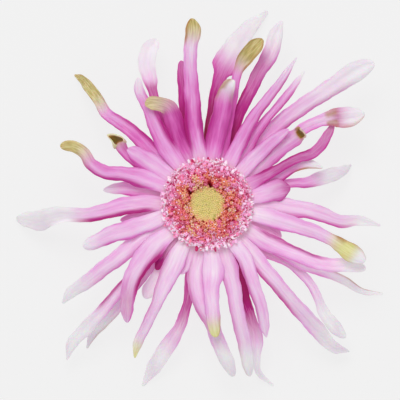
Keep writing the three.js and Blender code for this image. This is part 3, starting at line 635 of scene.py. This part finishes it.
CROWN_BEARING = 92  # painted shade: the side of the bloom whose petals are painted deepest pink, turned away from the key lamp
CROWN_SPREAD = 30
CROWN_PINK = (0.3, 0.3, 0.18)  # by tier, as the next two
BURIED_SHARES = (0.3, 0.1, 0.0)  # painted shade: dark magenta where the petals above cover a petal
# painted glow by tier, strongest on the lowest tier, which lies most in shade
GLOW_SHARES = (1.2, 1.0, 0.85)


def petal_marks(row, reach, run, width, across, side, shift):
    """What the material reads at each point: coordinates on the blade, upper or under side, painted
    glow, and shares of pink, dark magenta, tip, olive, lime, tan, dark mouth and pale base. Pink holds
    painted shade on the bloom's top side, towards the edges and in the furrows, and a painted
    highlight along the middle; dark magenta is partly painted shade in folds and under the petals
    above; the dark mouth is painted shade inside a tube's opening. Each share is a step or a table
    over the reach, times a step from the middle to the edges."""
    full = (PETAL_ROWS, 2 * PETAL_COLUMNS)
    tier, bearing, coloured_tip = row["tier"], row["at"][0][1], row["tip"] != PALE
    at_edges, on_left, on_right = np.abs(across), smooth(across, 0.25, 0.85), smooth(-across, 0.25, 0.85)

    # painted shade: petals on the bloom's top side, turned away from the key lamp, are pinker, most near
    # their base
    deeper = (1 + np.sin(np.radians(bearing - 5))) / 2
    along = np.interp(reach, (0, 3, 10, 20, 30, 40), (0.42, 0.6, 1.0, 0.95, 0.65, 0.3))
    pink = (along * (0.34 + 0.48 * deeper ** 1.6) + row["tint"] * 0.5
            + 0.16 * deeper * (1 - smooth(reach, 1, 10)))[:, None]
    # painted shade: extra pink near the base of the petals on the top side
    crown = CROWN_PINK[tier] * np.exp(-((bearing - CROWN_BEARING) / CROWN_SPREAD) ** 2)
    pink = pink + crown * (smooth(reach, 1, 6) * (1 - smooth(reach, 12, 22)))[:, None]
    phase = rng.uniform(0, 2 * np.pi)
    # painted highlight: paler along the middle of the blade; the rib stripes are the petal's own
    pink = pink + 0.03 * np.cos(np.pi * RIBS * across + phase) - 0.1 * (1 - at_edges)
    # painted shade: pinker in the furrows' valleys
    pink = pink + 0.05 * np.cos(2 * np.pi * across + shift) * smooth(reach, -2, 4)[:, None]
    # painted shade: pinker towards the edges, most on the edge turned away from the key lamp
    far_side = 1 - 0.7 * np.sign(across) * np.cos(np.radians(bearing))
    pink = pink + 0.24 * smooth(at_edges, 0.5, 1) * far_side * smooth(reach, 0, 6)[:, None]

    # dark magenta: partly the petal's own, partly painted shade in folds, along rolled edges and under the
    # petals above
    stops, shares = np.array(row["deep"], float).T
    buried = BURIED_SHARES[tier] * (1 - smooth(reach, 3, 16))
    deep = np.maximum(np.interp(reach, stops, shares), buried)[:, None]
    start, end = row["edge_span"]
    edged = (smooth(reach, start - 3, start + 3) * (1 - smooth(reach, end - 5, end + 3)))[:, None]
    deep = np.maximum(deep, edged * (row["edges"][0] * on_left + row["edges"][1] * on_right))

    tip_from, olive_to = row["tip_from"], row["olive_to"]
    tip = smooth(reach, tip_from - 3, tip_from + 5)[:, None]
    olive = tip * (1 - smooth(reach, olive_to - 2, olive_to + 2))[:, None] * coloured_tip
    brown = (0.3 * smooth(at_edges, 0.7, 1) * coloured_tip + row["rim"][0] * smooth(across, 0.45, 0.95)
             + row["rim"][1] * smooth(-across, 0.45, 0.95))
    burn_at, burn_length, burn_left, burn_right = row["burn"]
    patch = smooth(1 - np.abs(reach - burn_at) / burn_length, 0, 0.6)[:, None]
    patch = patch * (burn_left * smooth(across, 0, 0.6) + burn_right * smooth(-across, 0, 0.6))
    tan = smooth(reach, tip_from - 3, tip_from + 1)[:, None] * brown + patch

    # painted shade: the inside of a tube's opening darkens, from gold at the lip to brown
    to_go = (run[-1] - run)[:, None]
    mouth = smooth(to_go, 0.1, 1.0) * (1 - smooth(to_go, 2.4, 4.2)) * row["tube"]
    mouth = mouth * (side > 0) * (1 - smooth(at_edges, 0.45, 0.85))
    # painted glow: strongest at the base, where the petals lie in shade
    glow = np.interp(reach, (0, 6, 14, 20, 30), (1, 0.9, 0.55, 0.3, 0.15))[:, None] + row["glow"]
    blade = np.stack(np.broadcast_arrays(across * width[:, None] / 2, run[:, None],
                                         rng.uniform(0, 50)), axis=-1)
    return {
        "blade": np.broadcast_to(blade, full + (3,)),
        "upper": np.broadcast_to(side > 0, full).astype(float),
        "pink": pink,
        "deep": np.broadcast_to(deep, full),
        "tip": np.broadcast_to(tip, full),
        "olive": np.broadcast_to(olive, full),
        "glow": np.broadcast_to(glow * GLOW_SHARES[tier], full),
        "lime": np.full(full, float(row["tip"] == LIME)),
        "tan": np.clip(tan, 0, 1),
        "mouth": np.broadcast_to(mouth, full),
        "base": np.broadcast_to((1 - smooth(reach, -3, 1))[:, None], full),
    }


# strength of the petals' painted glow
PETAL_EMISSION = 0.15


def make_petal_material():
    """Lilac-pink above with veins and blotches, magenta beneath, dark magenta to crimson in the folds
    and gaps, partly the petal's own colour and partly painted shade, tips bleached or gone olive with a
    browned rim, claw greenish white. It gives off a painted glow of its own colour, strongest at the
    base and in the dark folds, which lifts its shaded parts."""
    material, tree, surface = new_material("petal", 0.5, 0.35, (1.0, 0.4, 0.7), 0.04)
    fine, blotches = veins(tree, 2.6, 0.28)
    varied = sum_up(tree, "ADD", sum_up(tree, "MULTIPLY", fine, 0.12), attribute(tree, "pink"))
    varied = sum_up(tree, "ADD", sum_up(tree, "MULTIPLY", blotches, 0.22), varied, False)
    varied = sum_up(tree, "SUBTRACT", varied, 0.17)
    above = ramp(tree, varied, [(0.0, "EFE0ED"), (0.25, "EBC8E6"), (0.5, "E6A4DB"), (0.75, "DB70C1"),
                                (1.0, "C03C9C")])
    below = ramp(tree, varied, [(0.0, "F0BFE6"), (0.5, "DE6CC2"), (1.0, "B62E90")])
    skin = blend_colour(tree, attribute(tree, "upper"), below, above)
    # painted shade and own colour: dark magenta, and crimson above 1, in folds and gaps
    darkness = sum_up(tree, "MULTIPLY", attribute(tree, "deep"),
                      sum_up(tree, "ADD", sum_up(tree, "MULTIPLY", fine, 0.3), 0.75))
    skin = blend_colour(tree, darkness, skin, linear("AE1280"))
    shaded = sum_up(tree, "SUBTRACT", attribute(tree, "deep"), 1.0)
    skin = blend_colour(tree, sum_up(tree, "MULTIPLY", shaded, 1.5), skin, linear("86103F"))
    bleached = ramp(tree, blotches, [(0.0, "F4F3F4"), (1.0, "E8E0E9")])
    skin = blend_colour(tree, sum_up(tree, "MULTIPLY", attribute(tree, "tip"), 0.95), skin, bleached)
    olive = ramp(tree, fine, [(0.0, "DED4A0"), (0.5, "CABD7E"), (1.0, "B0A05C")])
    lime = ramp(tree, fine, [(0.0, "E8E6AC"), (1.0, "D6D584")])
    olive = blend_colour(tree, attribute(tree, "lime"), olive, lime)
    skin = blend_colour(tree, attribute(tree, "olive"), skin, olive)
    browned = sum_up(tree, "MULTIPLY", attribute(tree, "tan"),
                     sum_up(tree, "ADD", sum_up(tree, "MULTIPLY", blotches, 0.6), 0.45))
    skin = blend_colour(tree, browned, skin, linear("A8762E"))
    # painted shade inside a tube's mouth
    throat = ramp(tree, attribute(tree, "mouth"), [(0.0, "D2A64C"), (0.5, "A8782C"), (1.0, "7C6420")])
    skin = blend_colour(tree, sum_up(tree, "MULTIPLY", attribute(tree, "mouth"), 2.0), skin, throat)
    skin = blend_colour(tree, attribute(tree, "base"), skin, linear("F4EEDC"))
    tree.links.new(skin, surface.inputs["Base Color"])
    # painted glow: the petal's own colour given off at its base and in its dark folds, to lift the shade
    # there
    bright = sum_up(tree, "MAXIMUM", attribute(tree, "glow"), darkness)
    lit = blend_colour(tree, bright, (0, 0, 0, 1), skin)
    tree.links.new(lit, surface.inputs["Emission Color"])
    surface.inputs["Emission Strength"].default_value = PETAL_EMISSION
    rough = add(tree, "ShaderNodeMapRange", {"Value": fine, "To Min": 0.42, "To Max": 0.6})
    tree.links.new(rough.outputs[0], surface.inputs["Roughness"])
    add_bump(tree, surface, fine, 0.3, 0.06)
    return material


petal_material = make_petal_material()
for number, row in enumerate(PETALS, start=1):
    grid, marks = petal_grid(row)
    make_piece(f"petal_{number:02d}_blade", grid[None], {k: v[None] for k, v in marks.items()},
               petal_material, "petal", f"petal_{number:02d}")


# ---------------------------------------------------------------- disc: shared shape rules

DISC_RADII = (0.0, 3.5, 4.8, 5.6, 7.0, 8.5, 10.0, 12.0, 13.8)
DISC_HEIGHTS = (22.9, 22.9, 23.3, 24.8, 26.0, 25.9, 25.3, 24.7, 23.8)
LEAN_RADII = (4.5, 6.0, 8.0, 10.0, 13.5)
LEANS = (-30, -12, 12, 34, 58)  # degrees outwards from upright
GOLDEN_ANGLE = 137.508
PLACES_PER_SPACING = 3.6  # places within a circle whose radius is the spacing
WOBBLING_RADIUS = 6  # an inner border within this isn't quite round
# radius, bearing and size of the spots where no floret opened
PITS = ((6.2, 82, 0.9), (5.4, 84, 0.5), (7.0, 141, 0.6), (6.3, 148, 0.5), (11.6, 338, 0.7),
        (9.3, 228, 0.5))
ROOT_RISE = 0.35  # of a floret's foot above the receptacle's top face


def golden_places(spacing, inner, outer):
    """Radii and bearings of a sunflower spiral: each place turns on by the golden angle, and the
    radius grows as the root of its number, so the places are evenly spread. Those within the inner
    border or in a pit are left out."""
    count = int((outer / spacing) ** 2 * PLACES_PER_SPACING)
    radius = outer * np.sqrt((np.arange(count) + 0.5) / count)
    bearing = GOLDEN_ANGLE * np.arange(count)
    wobble = 0.3 * np.sin(np.radians(3 * bearing + 40)) + 0.2 * np.sin(np.radians(7 * bearing))
    kept = radius >= inner + wobble * (inner < WOBBLING_RADIUS)
    for gap_radius, gap_bearing, gap_size in PITS:
        away = np.linalg.norm(around(radius, bearing, 0) - around(gap_radius, gap_bearing, 0), axis=1)
        kept &= away > gap_size
    return radius[kept], bearing[kept] % 360


def axes_of(bearing, lean, spin):
    """Three axes per floret: across and outward, spun about the third, which leans outwards."""
    outward = around(1.0, bearing, 0.0)
    sideways = around(1.0, bearing + 90, 0.0)
    lean, spin = np.radians(lean)[:, None], np.radians(spin)[:, None]
    upright = outward * np.sin(lean) + np.array([0, 0, 1]) * np.cos(lean)
    forward = outward * np.cos(lean) - np.array([0, 0, 1]) * np.sin(lean)
    first = forward * np.cos(spin) + sideways * np.sin(spin)
    return first, np.cross(upright, first), upright


def set_out(shape, centre, axes, size):
    """Copies of a rows x ring x 3 shape, each grown by its size, turned to its axes and set at its
    centre."""
    first, second, third = (a[:, None, None] for a in axes)
    grown = shape[None] * size[:, None, None, None]
    return (centre[:, None, None] + grown[..., 0:1] * first + grown[..., 1:2] * second
            + grown[..., 2:3] * third)


def turned_shape(profile, ring):
    """Rings of (radius, notch radius, height): the two radii alternate round the ring, so five pairs
    make a five-lobed floret."""
    radius, notch, height = np.array(profile, float).T
    angle = np.arange(ring) * 2 * np.pi / ring
    spread = np.where(np.arange(ring)[None] % 2 == 0, radius[:, None], notch[:, None])
    return np.stack(np.broadcast_arrays(spread * np.cos(angle), spread * np.sin(angle),
                                        height[:, None]), axis=-1)


def rooted(grid, radius, bearing, girth):
    """The first ring of each copy moved down onto the receptacle at the radius and bearing, and
    scaled by girth, so that the tube reaches it."""
    root = around(radius, bearing, PLATE_Z + ROOT_RISE)
    spread = grid[:, 0] - grid[:, 0].mean(axis=1, keepdims=True)
    grid[:, 0] = root[:, None] + spread * girth
    return grid


FLORET_STOPS = [(0.0, "FEE0B4"), (0.2, "FEC296"), (0.42, "FC927C"), (0.6, "F988B6"),
                (0.78, "F8B2E0"), (1.0, "FEEAF8")]
# strength of the florets' painted glow
FLORET_EMISSION = 0.2


def make_floret_material(name, dark):
    """Floret skin: its colour runs over FLORET_STOPS, cream to coral to pale pink, by each floret's
    own tint, and it turns to the dark colour down the tube, a painted shade in the gaps between
    florets. It gives off a painted glow of its own colour, as the petals do, which lifts its shaded
    parts."""
    material, tree, surface = new_material(name, 0.45, 0.2, (1.0, 0.35, 0.3), 0.1)
    fine, blotches = veins(tree, 3.0, 1.2)
    tint = sum_up(tree, "ADD", attribute(tree, "tint"), sum_up(tree, "MULTIPLY", blotches, 0.12))
    skin = ramp(tree, tint, FLORET_STOPS)
    skin = blend_colour(tree, attribute(tree, "depth"), linear(dark), skin)
    tree.links.new(skin, surface.inputs["Base Color"])
    # painted glow: the floret's own colour given off, to lift its shaded parts
    tree.links.new(skin, surface.inputs["Emission Color"])
    surface.inputs["Emission Strength"].default_value = FLORET_EMISSION
    add_bump(tree, surface, fine, 0.3, 0.08)
    return material


# ---------------------------------------------------------------- disc: tubular florets

FLORET_PROFILE = [(0.30, 0.30, -3.0), (0.74, 0.74, -0.55), (0.42, 0.36, -0.25), (0.9, 0.38, 0.0),
                  (0.72, 0.30, 0.2), (0.16, 0.16, -0.2)]
# painted shade: 0 is the dark colour at the foot, collar and throat, 1 the floret's own colour on the lobes
FLORET_DEPTHS = (0.0, 0.1, 0.45, 1.0, 1.0, 0.1)
STYLE_PROFILE = [(0.10, 0.10, -0.4), (0.12, 0.12, 0.3), (0.22, 0.17, 0.5), (0.06, 0.06, 0.72)]
# painted shade: each style darker towards its foot
STYLE_DEPTHS = (0.2, 0.7, 1.0, 1.0)

FLORET_SPACING = 1.3
WITHERED_STYLES = 0.09  # share of them
# the dark red is painted shade down the tubes, and the withered styles' own colour
floret_material = make_floret_material("disc_floret", "B81430")


def make_florets(name, inner, outer, node, material, slot, drop=0.0):
    """A ring of open tubular florets with their styles, on the golden spiral, leaning out more towards the
    rim. Each has a wide collar that meets its neighbours' collars; its foot, collar and throat are
    painted dark, a painted shade in the gaps between florets. Some styles are withered, and so as dark
    as the tube's foot."""
    radius, bearing = golden_places(FLORET_SPACING, inner, outer)
    count = len(radius)
    radius = radius + rng.normal(0, 0.16, count)
    bearing = bearing + rng.normal(0, 1.6, count)
    height = np.interp(radius, DISC_RADII, DISC_HEIGHTS) - drop + rng.normal(0, 0.2, count)
    lean = np.interp(radius, LEAN_RADII, LEANS) + rng.normal(0, 14, count)
    centre = around(radius, bearing, height)
    size = rng.uniform(0.9, 1.5, count) * np.interp(radius, (5, 9), (0.8, 1.0))
    axes = axes_of(bearing, lean, rng.uniform(0, 72, count))
    tint = np.interp(radius, (5, 6.5, 8.5, 10.5, 12.5), (0.05, 0.22, 0.41, 0.5, 0.84))
    tint = tint + rng.normal(0, 0.2, count)
    tubes = set_out(turned_shape(FLORET_PROFILE, 10), centre, axes, size)
    tubes = rooted(tubes, 0.75 * radius, bearing, 0.8)
    blade = tubes + rng.uniform(0, 40, (count, 1, 1, 1))
    dimmed = 1 - 0.55 * rng.random((count, 1, 1)) ** 3
    depth = np.array(FLORET_DEPTHS)[None, :, None] * dimmed + 0 * tubes[..., 0]
    make_piece(name, tubes, {"tint": tint[:, None, None], "depth": depth, "blade": blade},
               material, slot, node)
    styles = set_out(turned_shape(STYLE_PROFILE, 6), centre, axes, size)
    pale = 0.5 + rng.uniform(0, 0.42, count)
    withered = rng.random((count, 1, 1)) < WITHERED_STYLES
    depth = np.array(STYLE_DEPTHS)[None, :, None] * ~withered + 0 * styles[..., 0]
    make_piece(name + "_styles", styles, {"tint": pale[:, None, None], "depth": depth,
               "blade": styles}, material, slot)


make_florets("disc_florets_inner_ring", 4.9, 7.3, "inner_disc_florets", floret_material,
             "disc_floret")
make_florets("disc_florets_outer_ring", 7.3, 10.4, "outer_disc_florets", floret_material,
             "disc_floret")


# ---------------------------------------------------------------- disc: strap florets

STRAP_ROWS = 7
STRAP_THICKNESS = 0.16
STRAP_TROUGH = 0.25  # depth as a share of the width
WITHERED_STRAPS = 0.08  # share of them
# radius, count and paleness of each ring
STRAP_RINGS = ((10.6, 44, 0.2), (11.5, 50, 0.45), (12.4, 58, 0.7), (13.1, 66, 0.9),
               (13.7, 64, 1.0))


def strap_grids(radius, bearing, height, length, lean, curl, width):
    """Short straps: each midline starts leaning by lean and bends on by curl along its length; the
    section is a shallow trough, widest in the middle."""
    t = np.linspace(0, 1, STRAP_ROWS)[None]
    slope = np.radians(lean[:, None] + curl[:, None] * t ** 1.5)
    step = length[:, None] / (STRAP_ROWS - 1)
    out = np.cumsum(np.sin(slope) * step, axis=1) + radius[:, None]
    rise = np.cumsum(np.cos(slope) * step, axis=1) + height[:, None]
    wide = width[:, None] * (0.45 + 0.9 * np.sin(np.pi * np.clip(t, 0, 0.93)) ** 0.7)
    across = np.array([1, 0, -1, -1, 0, 1])[None, None]
    side = np.array([1, 1, 1, -1, -1, -1])[None, None] * STRAP_THICKNESS / 2
    lift = side + STRAP_TROUGH * wide[..., None] * across ** 2
    outward, sideways = around(1.0, bearing, 0.0), around(1.0, bearing + 90, 0.0)
    radial = out[..., None] - np.cos(slope)[..., None] * lift
    upward = rise[..., None] + np.sin(slope)[..., None] * lift
    return (radial[..., None] * outward[:, None, None]
            + upward[..., None] * np.array([0, 0, 1])
            + (across * wide[..., None] / 2)[..., None] * -sideways[:, None, None])


def make_straps(material):
    """Rings of small strap florets round the disc, palest outside, each rooted on the receptacle. Each is
    darker towards its foot, a painted shade. Some are withered, and so dark all over."""
    radius, bearing, pale = (np.concatenate(part) for part in zip(*[
        (np.full(count, ring), np.arange(count) * 360 / count, np.full(count, share))
        for ring, count, share in STRAP_RINGS]))
    count = len(radius)
    bearing = bearing + rng.normal(0, 2.2, count)
    radius = radius + rng.normal(0, 0.4, count) - 1.2
    height = np.interp(radius, DISC_RADII, DISC_HEIGHTS) - 1.4 + rng.normal(0, 0.25, count)
    length = rng.uniform(0.9, 2.2, count)
    lean = rng.uniform(-10, 45, count) + 25 * pale
    grid = strap_grids(radius, bearing, height, length, lean, rng.uniform(-60, 150, count),
                       rng.uniform(0.38, 0.72, count))
    grid = rooted(grid, 0.74 * radius, bearing, 0.7)
    tint = 0.6 + 0.28 * pale + rng.normal(0, 0.14, count)
    withered = rng.random((count, 1, 1)) < WITHERED_STRAPS
    # painted shade: darker towards the foot; withered straps are dark all over in their own colour
    depth = smooth(np.arange(STRAP_ROWS), 0, 3)[None, :, None] * ~withered + 0 * grid[..., 0]
    make_piece("strap_florets", grid, {"tint": tint[:, None, None], "depth": depth, "blade": grid},
               material, "trans_floret", "trans_florets")


# the dark magenta is painted shade at the straps' feet and down the tubes, and the withered straps' own
# colour
strap_material = make_floret_material("trans_floret", "C02268")
make_straps(strap_material)
make_florets("trans_floret_tubes", 10.4, 13.6, "trans_florets", strap_material, "trans_floret", 0.6)


# ---------------------------------------------------------------- disc: buds

BUD_PROFILE = [(0.30, 0.30, -1.2), (0.40, 0.40, -0.3), (0.36, 0.36, 0.15), (0.20, 0.20, 0.4),
               (0.04, 0.04, 0.46)]
# painted shade: each bud darker towards its foot
BUD_DEPTHS = (0, 0.4, 0.9, 1, 1)
BUD_SPACING = 0.6
DOME_RADIUS = 5.3
GREEN_BUDS = 0.04  # share of them


def make_bud_material():
    """Straw green to yellow, greener in the middle of the dome and a little darker towards each bud's foot,
    a painted shade between the buds.
    """
    material, tree, surface = new_material("bud", 0.65, 0.15, (0.8, 0.9, 0.3), 0.3)
    fine, blotches = veins(tree, 4.0, 0.6)
    tint = sum_up(tree, "ADD", attribute(tree, "tint"), sum_up(tree, "MULTIPLY", blotches, 0.25))
    skin = ramp(tree, tint, [(0.0, "8C8A3A"), (0.14, "DED880"), (0.4, "EEE394"), (0.75, "F4E09C"),
                             (1.0, "F8C68E")])
    # painted shade between the buds
    skin = blend_colour(tree, attribute(tree, "depth"), linear("E6D873"), skin)
    tree.links.new(skin, surface.inputs["Base Color"])
    add_bump(tree, surface, fine, 0.3, 0.06)
    return material


def make_buds():
    """Closed buds packed on the golden spiral in the sunken middle, leaning in more towards its rim."""
    radius, bearing = golden_places(BUD_SPACING, 0.0, DOME_RADIUS)
    count = len(radius)
    height = np.interp(radius, DISC_RADII, DISC_HEIGHTS) + rng.normal(0, 0.09, count)
    centre = around(radius, bearing, height)
    axes = axes_of(bearing, -4 * radius, rng.uniform(0, 60, count))
    grid = set_out(turned_shape(BUD_PROFILE, 8), centre, axes, rng.uniform(0.85, 1.15, count))
    grid = rooted(grid, 0.8 * radius, bearing, 0.9)
    tint = np.interp(radius, (0, 3.5, 5.4), (0.25, 0.4, 0.85)) + rng.normal(0, 0.1, count)
    tint = np.where(rng.random(count) < GREEN_BUDS, 0.0, np.maximum(tint, 0.12))
    depth = np.array(BUD_DEPTHS)[None, :, None] + 0 * grid[..., 0]
    make_piece("centre_bud_dome", grid, {"tint": tint[:, None, None], "depth": depth,
               "blade": grid}, make_bud_material(), "bud", "centre_buds")


make_buds()


# ---------------------------------------------------------------- receptacle, bracts, stem

BRACT_ROWS, BRACT_COLUMNS = 26, 9
BELL_SHARE = 0.72  # of a bract that follows the bell; the rest stands free
BELL_FOOT = 3.4
BRACT_THICKNESS = 0.28


def bell_path(grown):
    """Radius and height along a bract: a quarter of an ellipse about the middle of the receptacle's
    top face, grown outside the receptacle. It runs up from BELL_FOOT and ends at BELL_SHARE."""
    share = np.linspace(0, 1, BRACT_ROWS)
    across, deep = RECEPTACLE_RADIUS + grown, PLATE_Z - RECEPTACLE_LOW + grown
    start = np.arcsin(BELL_FOOT / across)
    angle = start + (np.pi / 2 - start) * np.clip(share / BELL_SHARE, 0, 1)
    return across * np.sin(angle), PLATE_Z - deep * np.cos(angle)


def make_bracts(name, node, count, grown, rise, flare, width, turn):
    """A row of narrow pointed bracts on the bell, each with its left edge over its neighbour. Beyond
    BELL_SHARE a bract goes straight up by rise and leans out by flare. It is widest past its middle,
    thinnest at its edges, and stands square to the bell."""
    share = np.linspace(0, 1, BRACT_ROWS)
    bearing = turn + np.arange(count) * 360 / count + rng.normal(0, 1.0, count)
    tall = rise * rng.uniform(0.86, 1.0, count)
    above = np.clip((share - BELL_SHARE) / (1 - BELL_SHARE), 0, 1)
    bell_radius, bell_height = bell_path(grown)
    ring = np.concatenate([np.arange(BRACT_COLUMNS)[::-1], np.arange(BRACT_COLUMNS)])
    across = np.linspace(-1, 1, BRACT_COLUMNS)[ring][None, None]
    side = np.repeat([-1.0, 1.0], BRACT_COLUMNS)[None, None]
    half = width / 2 * (0.35 + 0.65 * smooth(share, 0, 0.55)) * (1 - smooth(share, 0.62, 1.02)) ** 0.8
    half = np.maximum(half, 0.06)[None, :, None]
    radius = (bell_radius[None] + flare * above[None] ** 2)[..., None]
    height = (bell_height[None] + tall[:, None] * above[None])[..., None]
    outside = (side * -BRACT_THICKNESS / 2 * (1 - 0.6 * across ** 4) + 0.22 * across
               + 0.1 * (1 - across ** 2))
    angle = bearing[:, None, None] - np.degrees(across * half / np.maximum(radius, 3))
    flat = 1 - above[None, :, None]
    round_bell = (np.pi / 2 * np.clip(share / BELL_SHARE, 0, 1))[None, :, None]
    grid = around(radius + outside * np.sin(round_bell), angle,
                  height - outside * np.cos(round_bell) * flat)
    marks = {
        "along": share[None, :, None] + 0 * grid[..., 0],
        "rim": np.abs(across) + 0 * grid[..., 0],
        "blade": np.stack(np.broadcast_arrays(across * half, share[None, :, None] * 18,
                                              np.arange(count)[:, None, None] * 3.1), axis=-1),
    }
    make_piece(name, grid, marks, bract_material, "bract", node)


def make_bract_material():
    """Dull green with lengthwise ribs, paler edges and a reddish brown point."""
    material, tree, surface = new_material("bract", 0.6, 0.08, (0.5, 0.9, 0.2), 0.3)
    fine, blotches = veins(tree, 3.2, 0.5)
    skin = ramp(tree, fine, [(0.0, "5E7D38"), (0.5, "76944A"), (1.0, "92AC63")])
    skin = blend_colour(tree, sum_up(tree, "MULTIPLY", blotches, 0.35), skin, linear("4E6A33"))
    edge = add(tree, "ShaderNodeMapRange", {"Value": attribute(tree, "rim"), "From Min": 0.7,
               "From Max": 1.0, "To Max": 0.7}).outputs[0]
    skin = blend_colour(tree, edge, skin, linear("B3BE83"))
    point = add(tree, "ShaderNodeMapRange", {"Value": attribute(tree, "along"), "From Min": 0.86,
                "From Max": 1.0, "To Max": 0.85}).outputs[0]
    skin = blend_colour(tree, point, skin, linear("6E3F35"))
    tree.links.new(skin, surface.inputs["Base Color"])
    add_bump(tree, surface, fine, 0.7, 0.15)
    return material


bract_material = make_bract_material()
make_bracts("bracts_inner_row", "inner_bracts", 20, 0.7, 2.9, 0.2, 4.9, 3.0)
make_bracts("bracts_outer_row", "outer_bracts", 15, 1.5, 1.4, 0.9, 5.6, 11.0)


def make_green_material(name, light, middle, dark, subsurface):
    """Fleshy green with lengthwise streaks, pale where the cut mark is."""
    material, tree, surface = new_material(name, 0.5, subsurface, (0.5, 0.9, 0.2), 0.25)
    fine, blotches = veins(tree, 1.6, 0.3)
    skin = ramp(tree, fine, [(0.0, dark), (0.5, middle), (1.0, light)])
    skin = blend_colour(tree, sum_up(tree, "MULTIPLY", blotches, 0.4), skin, linear(dark))
    skin = blend_colour(tree, attribute(tree, "cut"), skin, linear("DDE3B4"))
    tree.links.new(skin, surface.inputs["Base Color"])
    add_bump(tree, surface, fine, 0.5, 0.2)
    return material


def turned_body(name, profile, segments, ribs, rib_height, material, slot, node):
    """A solid turned about the axis from (radius, height) points, with shallow lengthwise ribs; its
    ends close on a small ring. The cut mark is 1 on the lower end."""
    radius, height = np.array(profile, float).T
    angle = np.arange(segments) * 2 * np.pi / segments
    proud = 1 + rib_height * np.cos(ribs * angle)[None] * smooth(radius, 1, 2)[:, None]
    grid = around(radius[:, None] * proud, np.degrees(angle)[None], height[:, None])
    run = np.concatenate([[0], np.cumsum(np.hypot(np.diff(radius), np.diff(height)))])
    blade = np.stack(np.broadcast_arrays(np.cos(angle)[None] * 3, run[:, None],
                                         np.sin(angle)[None] * 3), axis=-1)
    cut = (height <= height.min() + 0.02).astype(float)[:, None] + 0 * grid[..., 0]
    make_piece(name, grid[None], {"blade": blade[None], "cut": cut[None]}, material, slot, node)


STEM_PROFILE = ([(0.05, 0.0), (1.2, 0.0), (STEM_RADIUS - 0.25, 0.0), (STEM_RADIUS - 0.05, 0.12)]
                + [(STEM_RADIUS * (0.95 + 0.05 * abs(2 * t - 1) ** 2), 0.12 + t * (STEM_LENGTH - 0.3))
                   for t in np.linspace(0.04, 1, 10)]
                + [(STEM_RADIUS - 0.3, STEM_LENGTH), (0.05, STEM_LENGTH)])
RECEPTACLE_PROFILE = ([(0.05, RECEPTACLE_LOW)]
                      + [(RECEPTACLE_RADIUS * np.sin(a),
                          PLATE_Z - (PLATE_Z - RECEPTACLE_LOW) * np.cos(a))
                         for a in np.linspace(0.12, np.pi / 2 - 0.06, 14)]
                      + [(RECEPTACLE_RADIUS - 0.2, PLATE_Z), (6.0, PLATE_Z), (0.05, PLATE_Z)])
stem_material = make_green_material("stem", "A9BF74", "86A552", "5F7F38", 0.1)
receptacle_material = make_green_material("receptacle", "C3D08E", "A8BC6C", "7F9A4A", 0.1)
turned_body("stem_stub", STEM_PROFILE, 48, 12, 0.03, stem_material, "stem", "stem")
turned_body("receptacle_body", RECEPTACLE_PROFILE, 48, 24, 0.004, receptacle_material,
            "receptacle", "receptacle")


# ---------------------------------------------------------------- surface

FLOOR_HALF = 6.0
FLOOR_EMISSION = 0.79


def make_floor():
    """A large pale sheet that is lit from behind as well, so that shadows on it stay faint."""
    corners = [(-FLOOR_HALF, -FLOOR_HALF, 0), (FLOOR_HALF, -FLOOR_HALF, 0),
               (FLOOR_HALF, FLOOR_HALF, 0), (-FLOOR_HALF, FLOOR_HALF, 0)]
    mesh = bpy.data.meshes.new("floor")
    mesh.from_pydata(corners, [], [(0, 1, 2, 3)])
    floor = bpy.data.objects.new("floor", mesh)
    bpy.context.scene.collection.objects.link(floor)
    material = bpy.data.materials.new("floor")
    material.use_nodes = True
    surface = material.node_tree.nodes["Principled BSDF"]
    surface.inputs["Base Color"].default_value = (0.1, 0.1, 0.1, 1)
    surface.inputs["Roughness"].default_value = 0.9
    surface.inputs["Specular IOR Level"].default_value = 0.1
    surface.inputs["Emission Color"].default_value = (1, 1, 1, 1)
    surface.inputs["Emission Strength"].default_value = FLOOR_EMISSION
    mesh.materials.append(material)
    floor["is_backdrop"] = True


make_floor()

low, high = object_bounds()
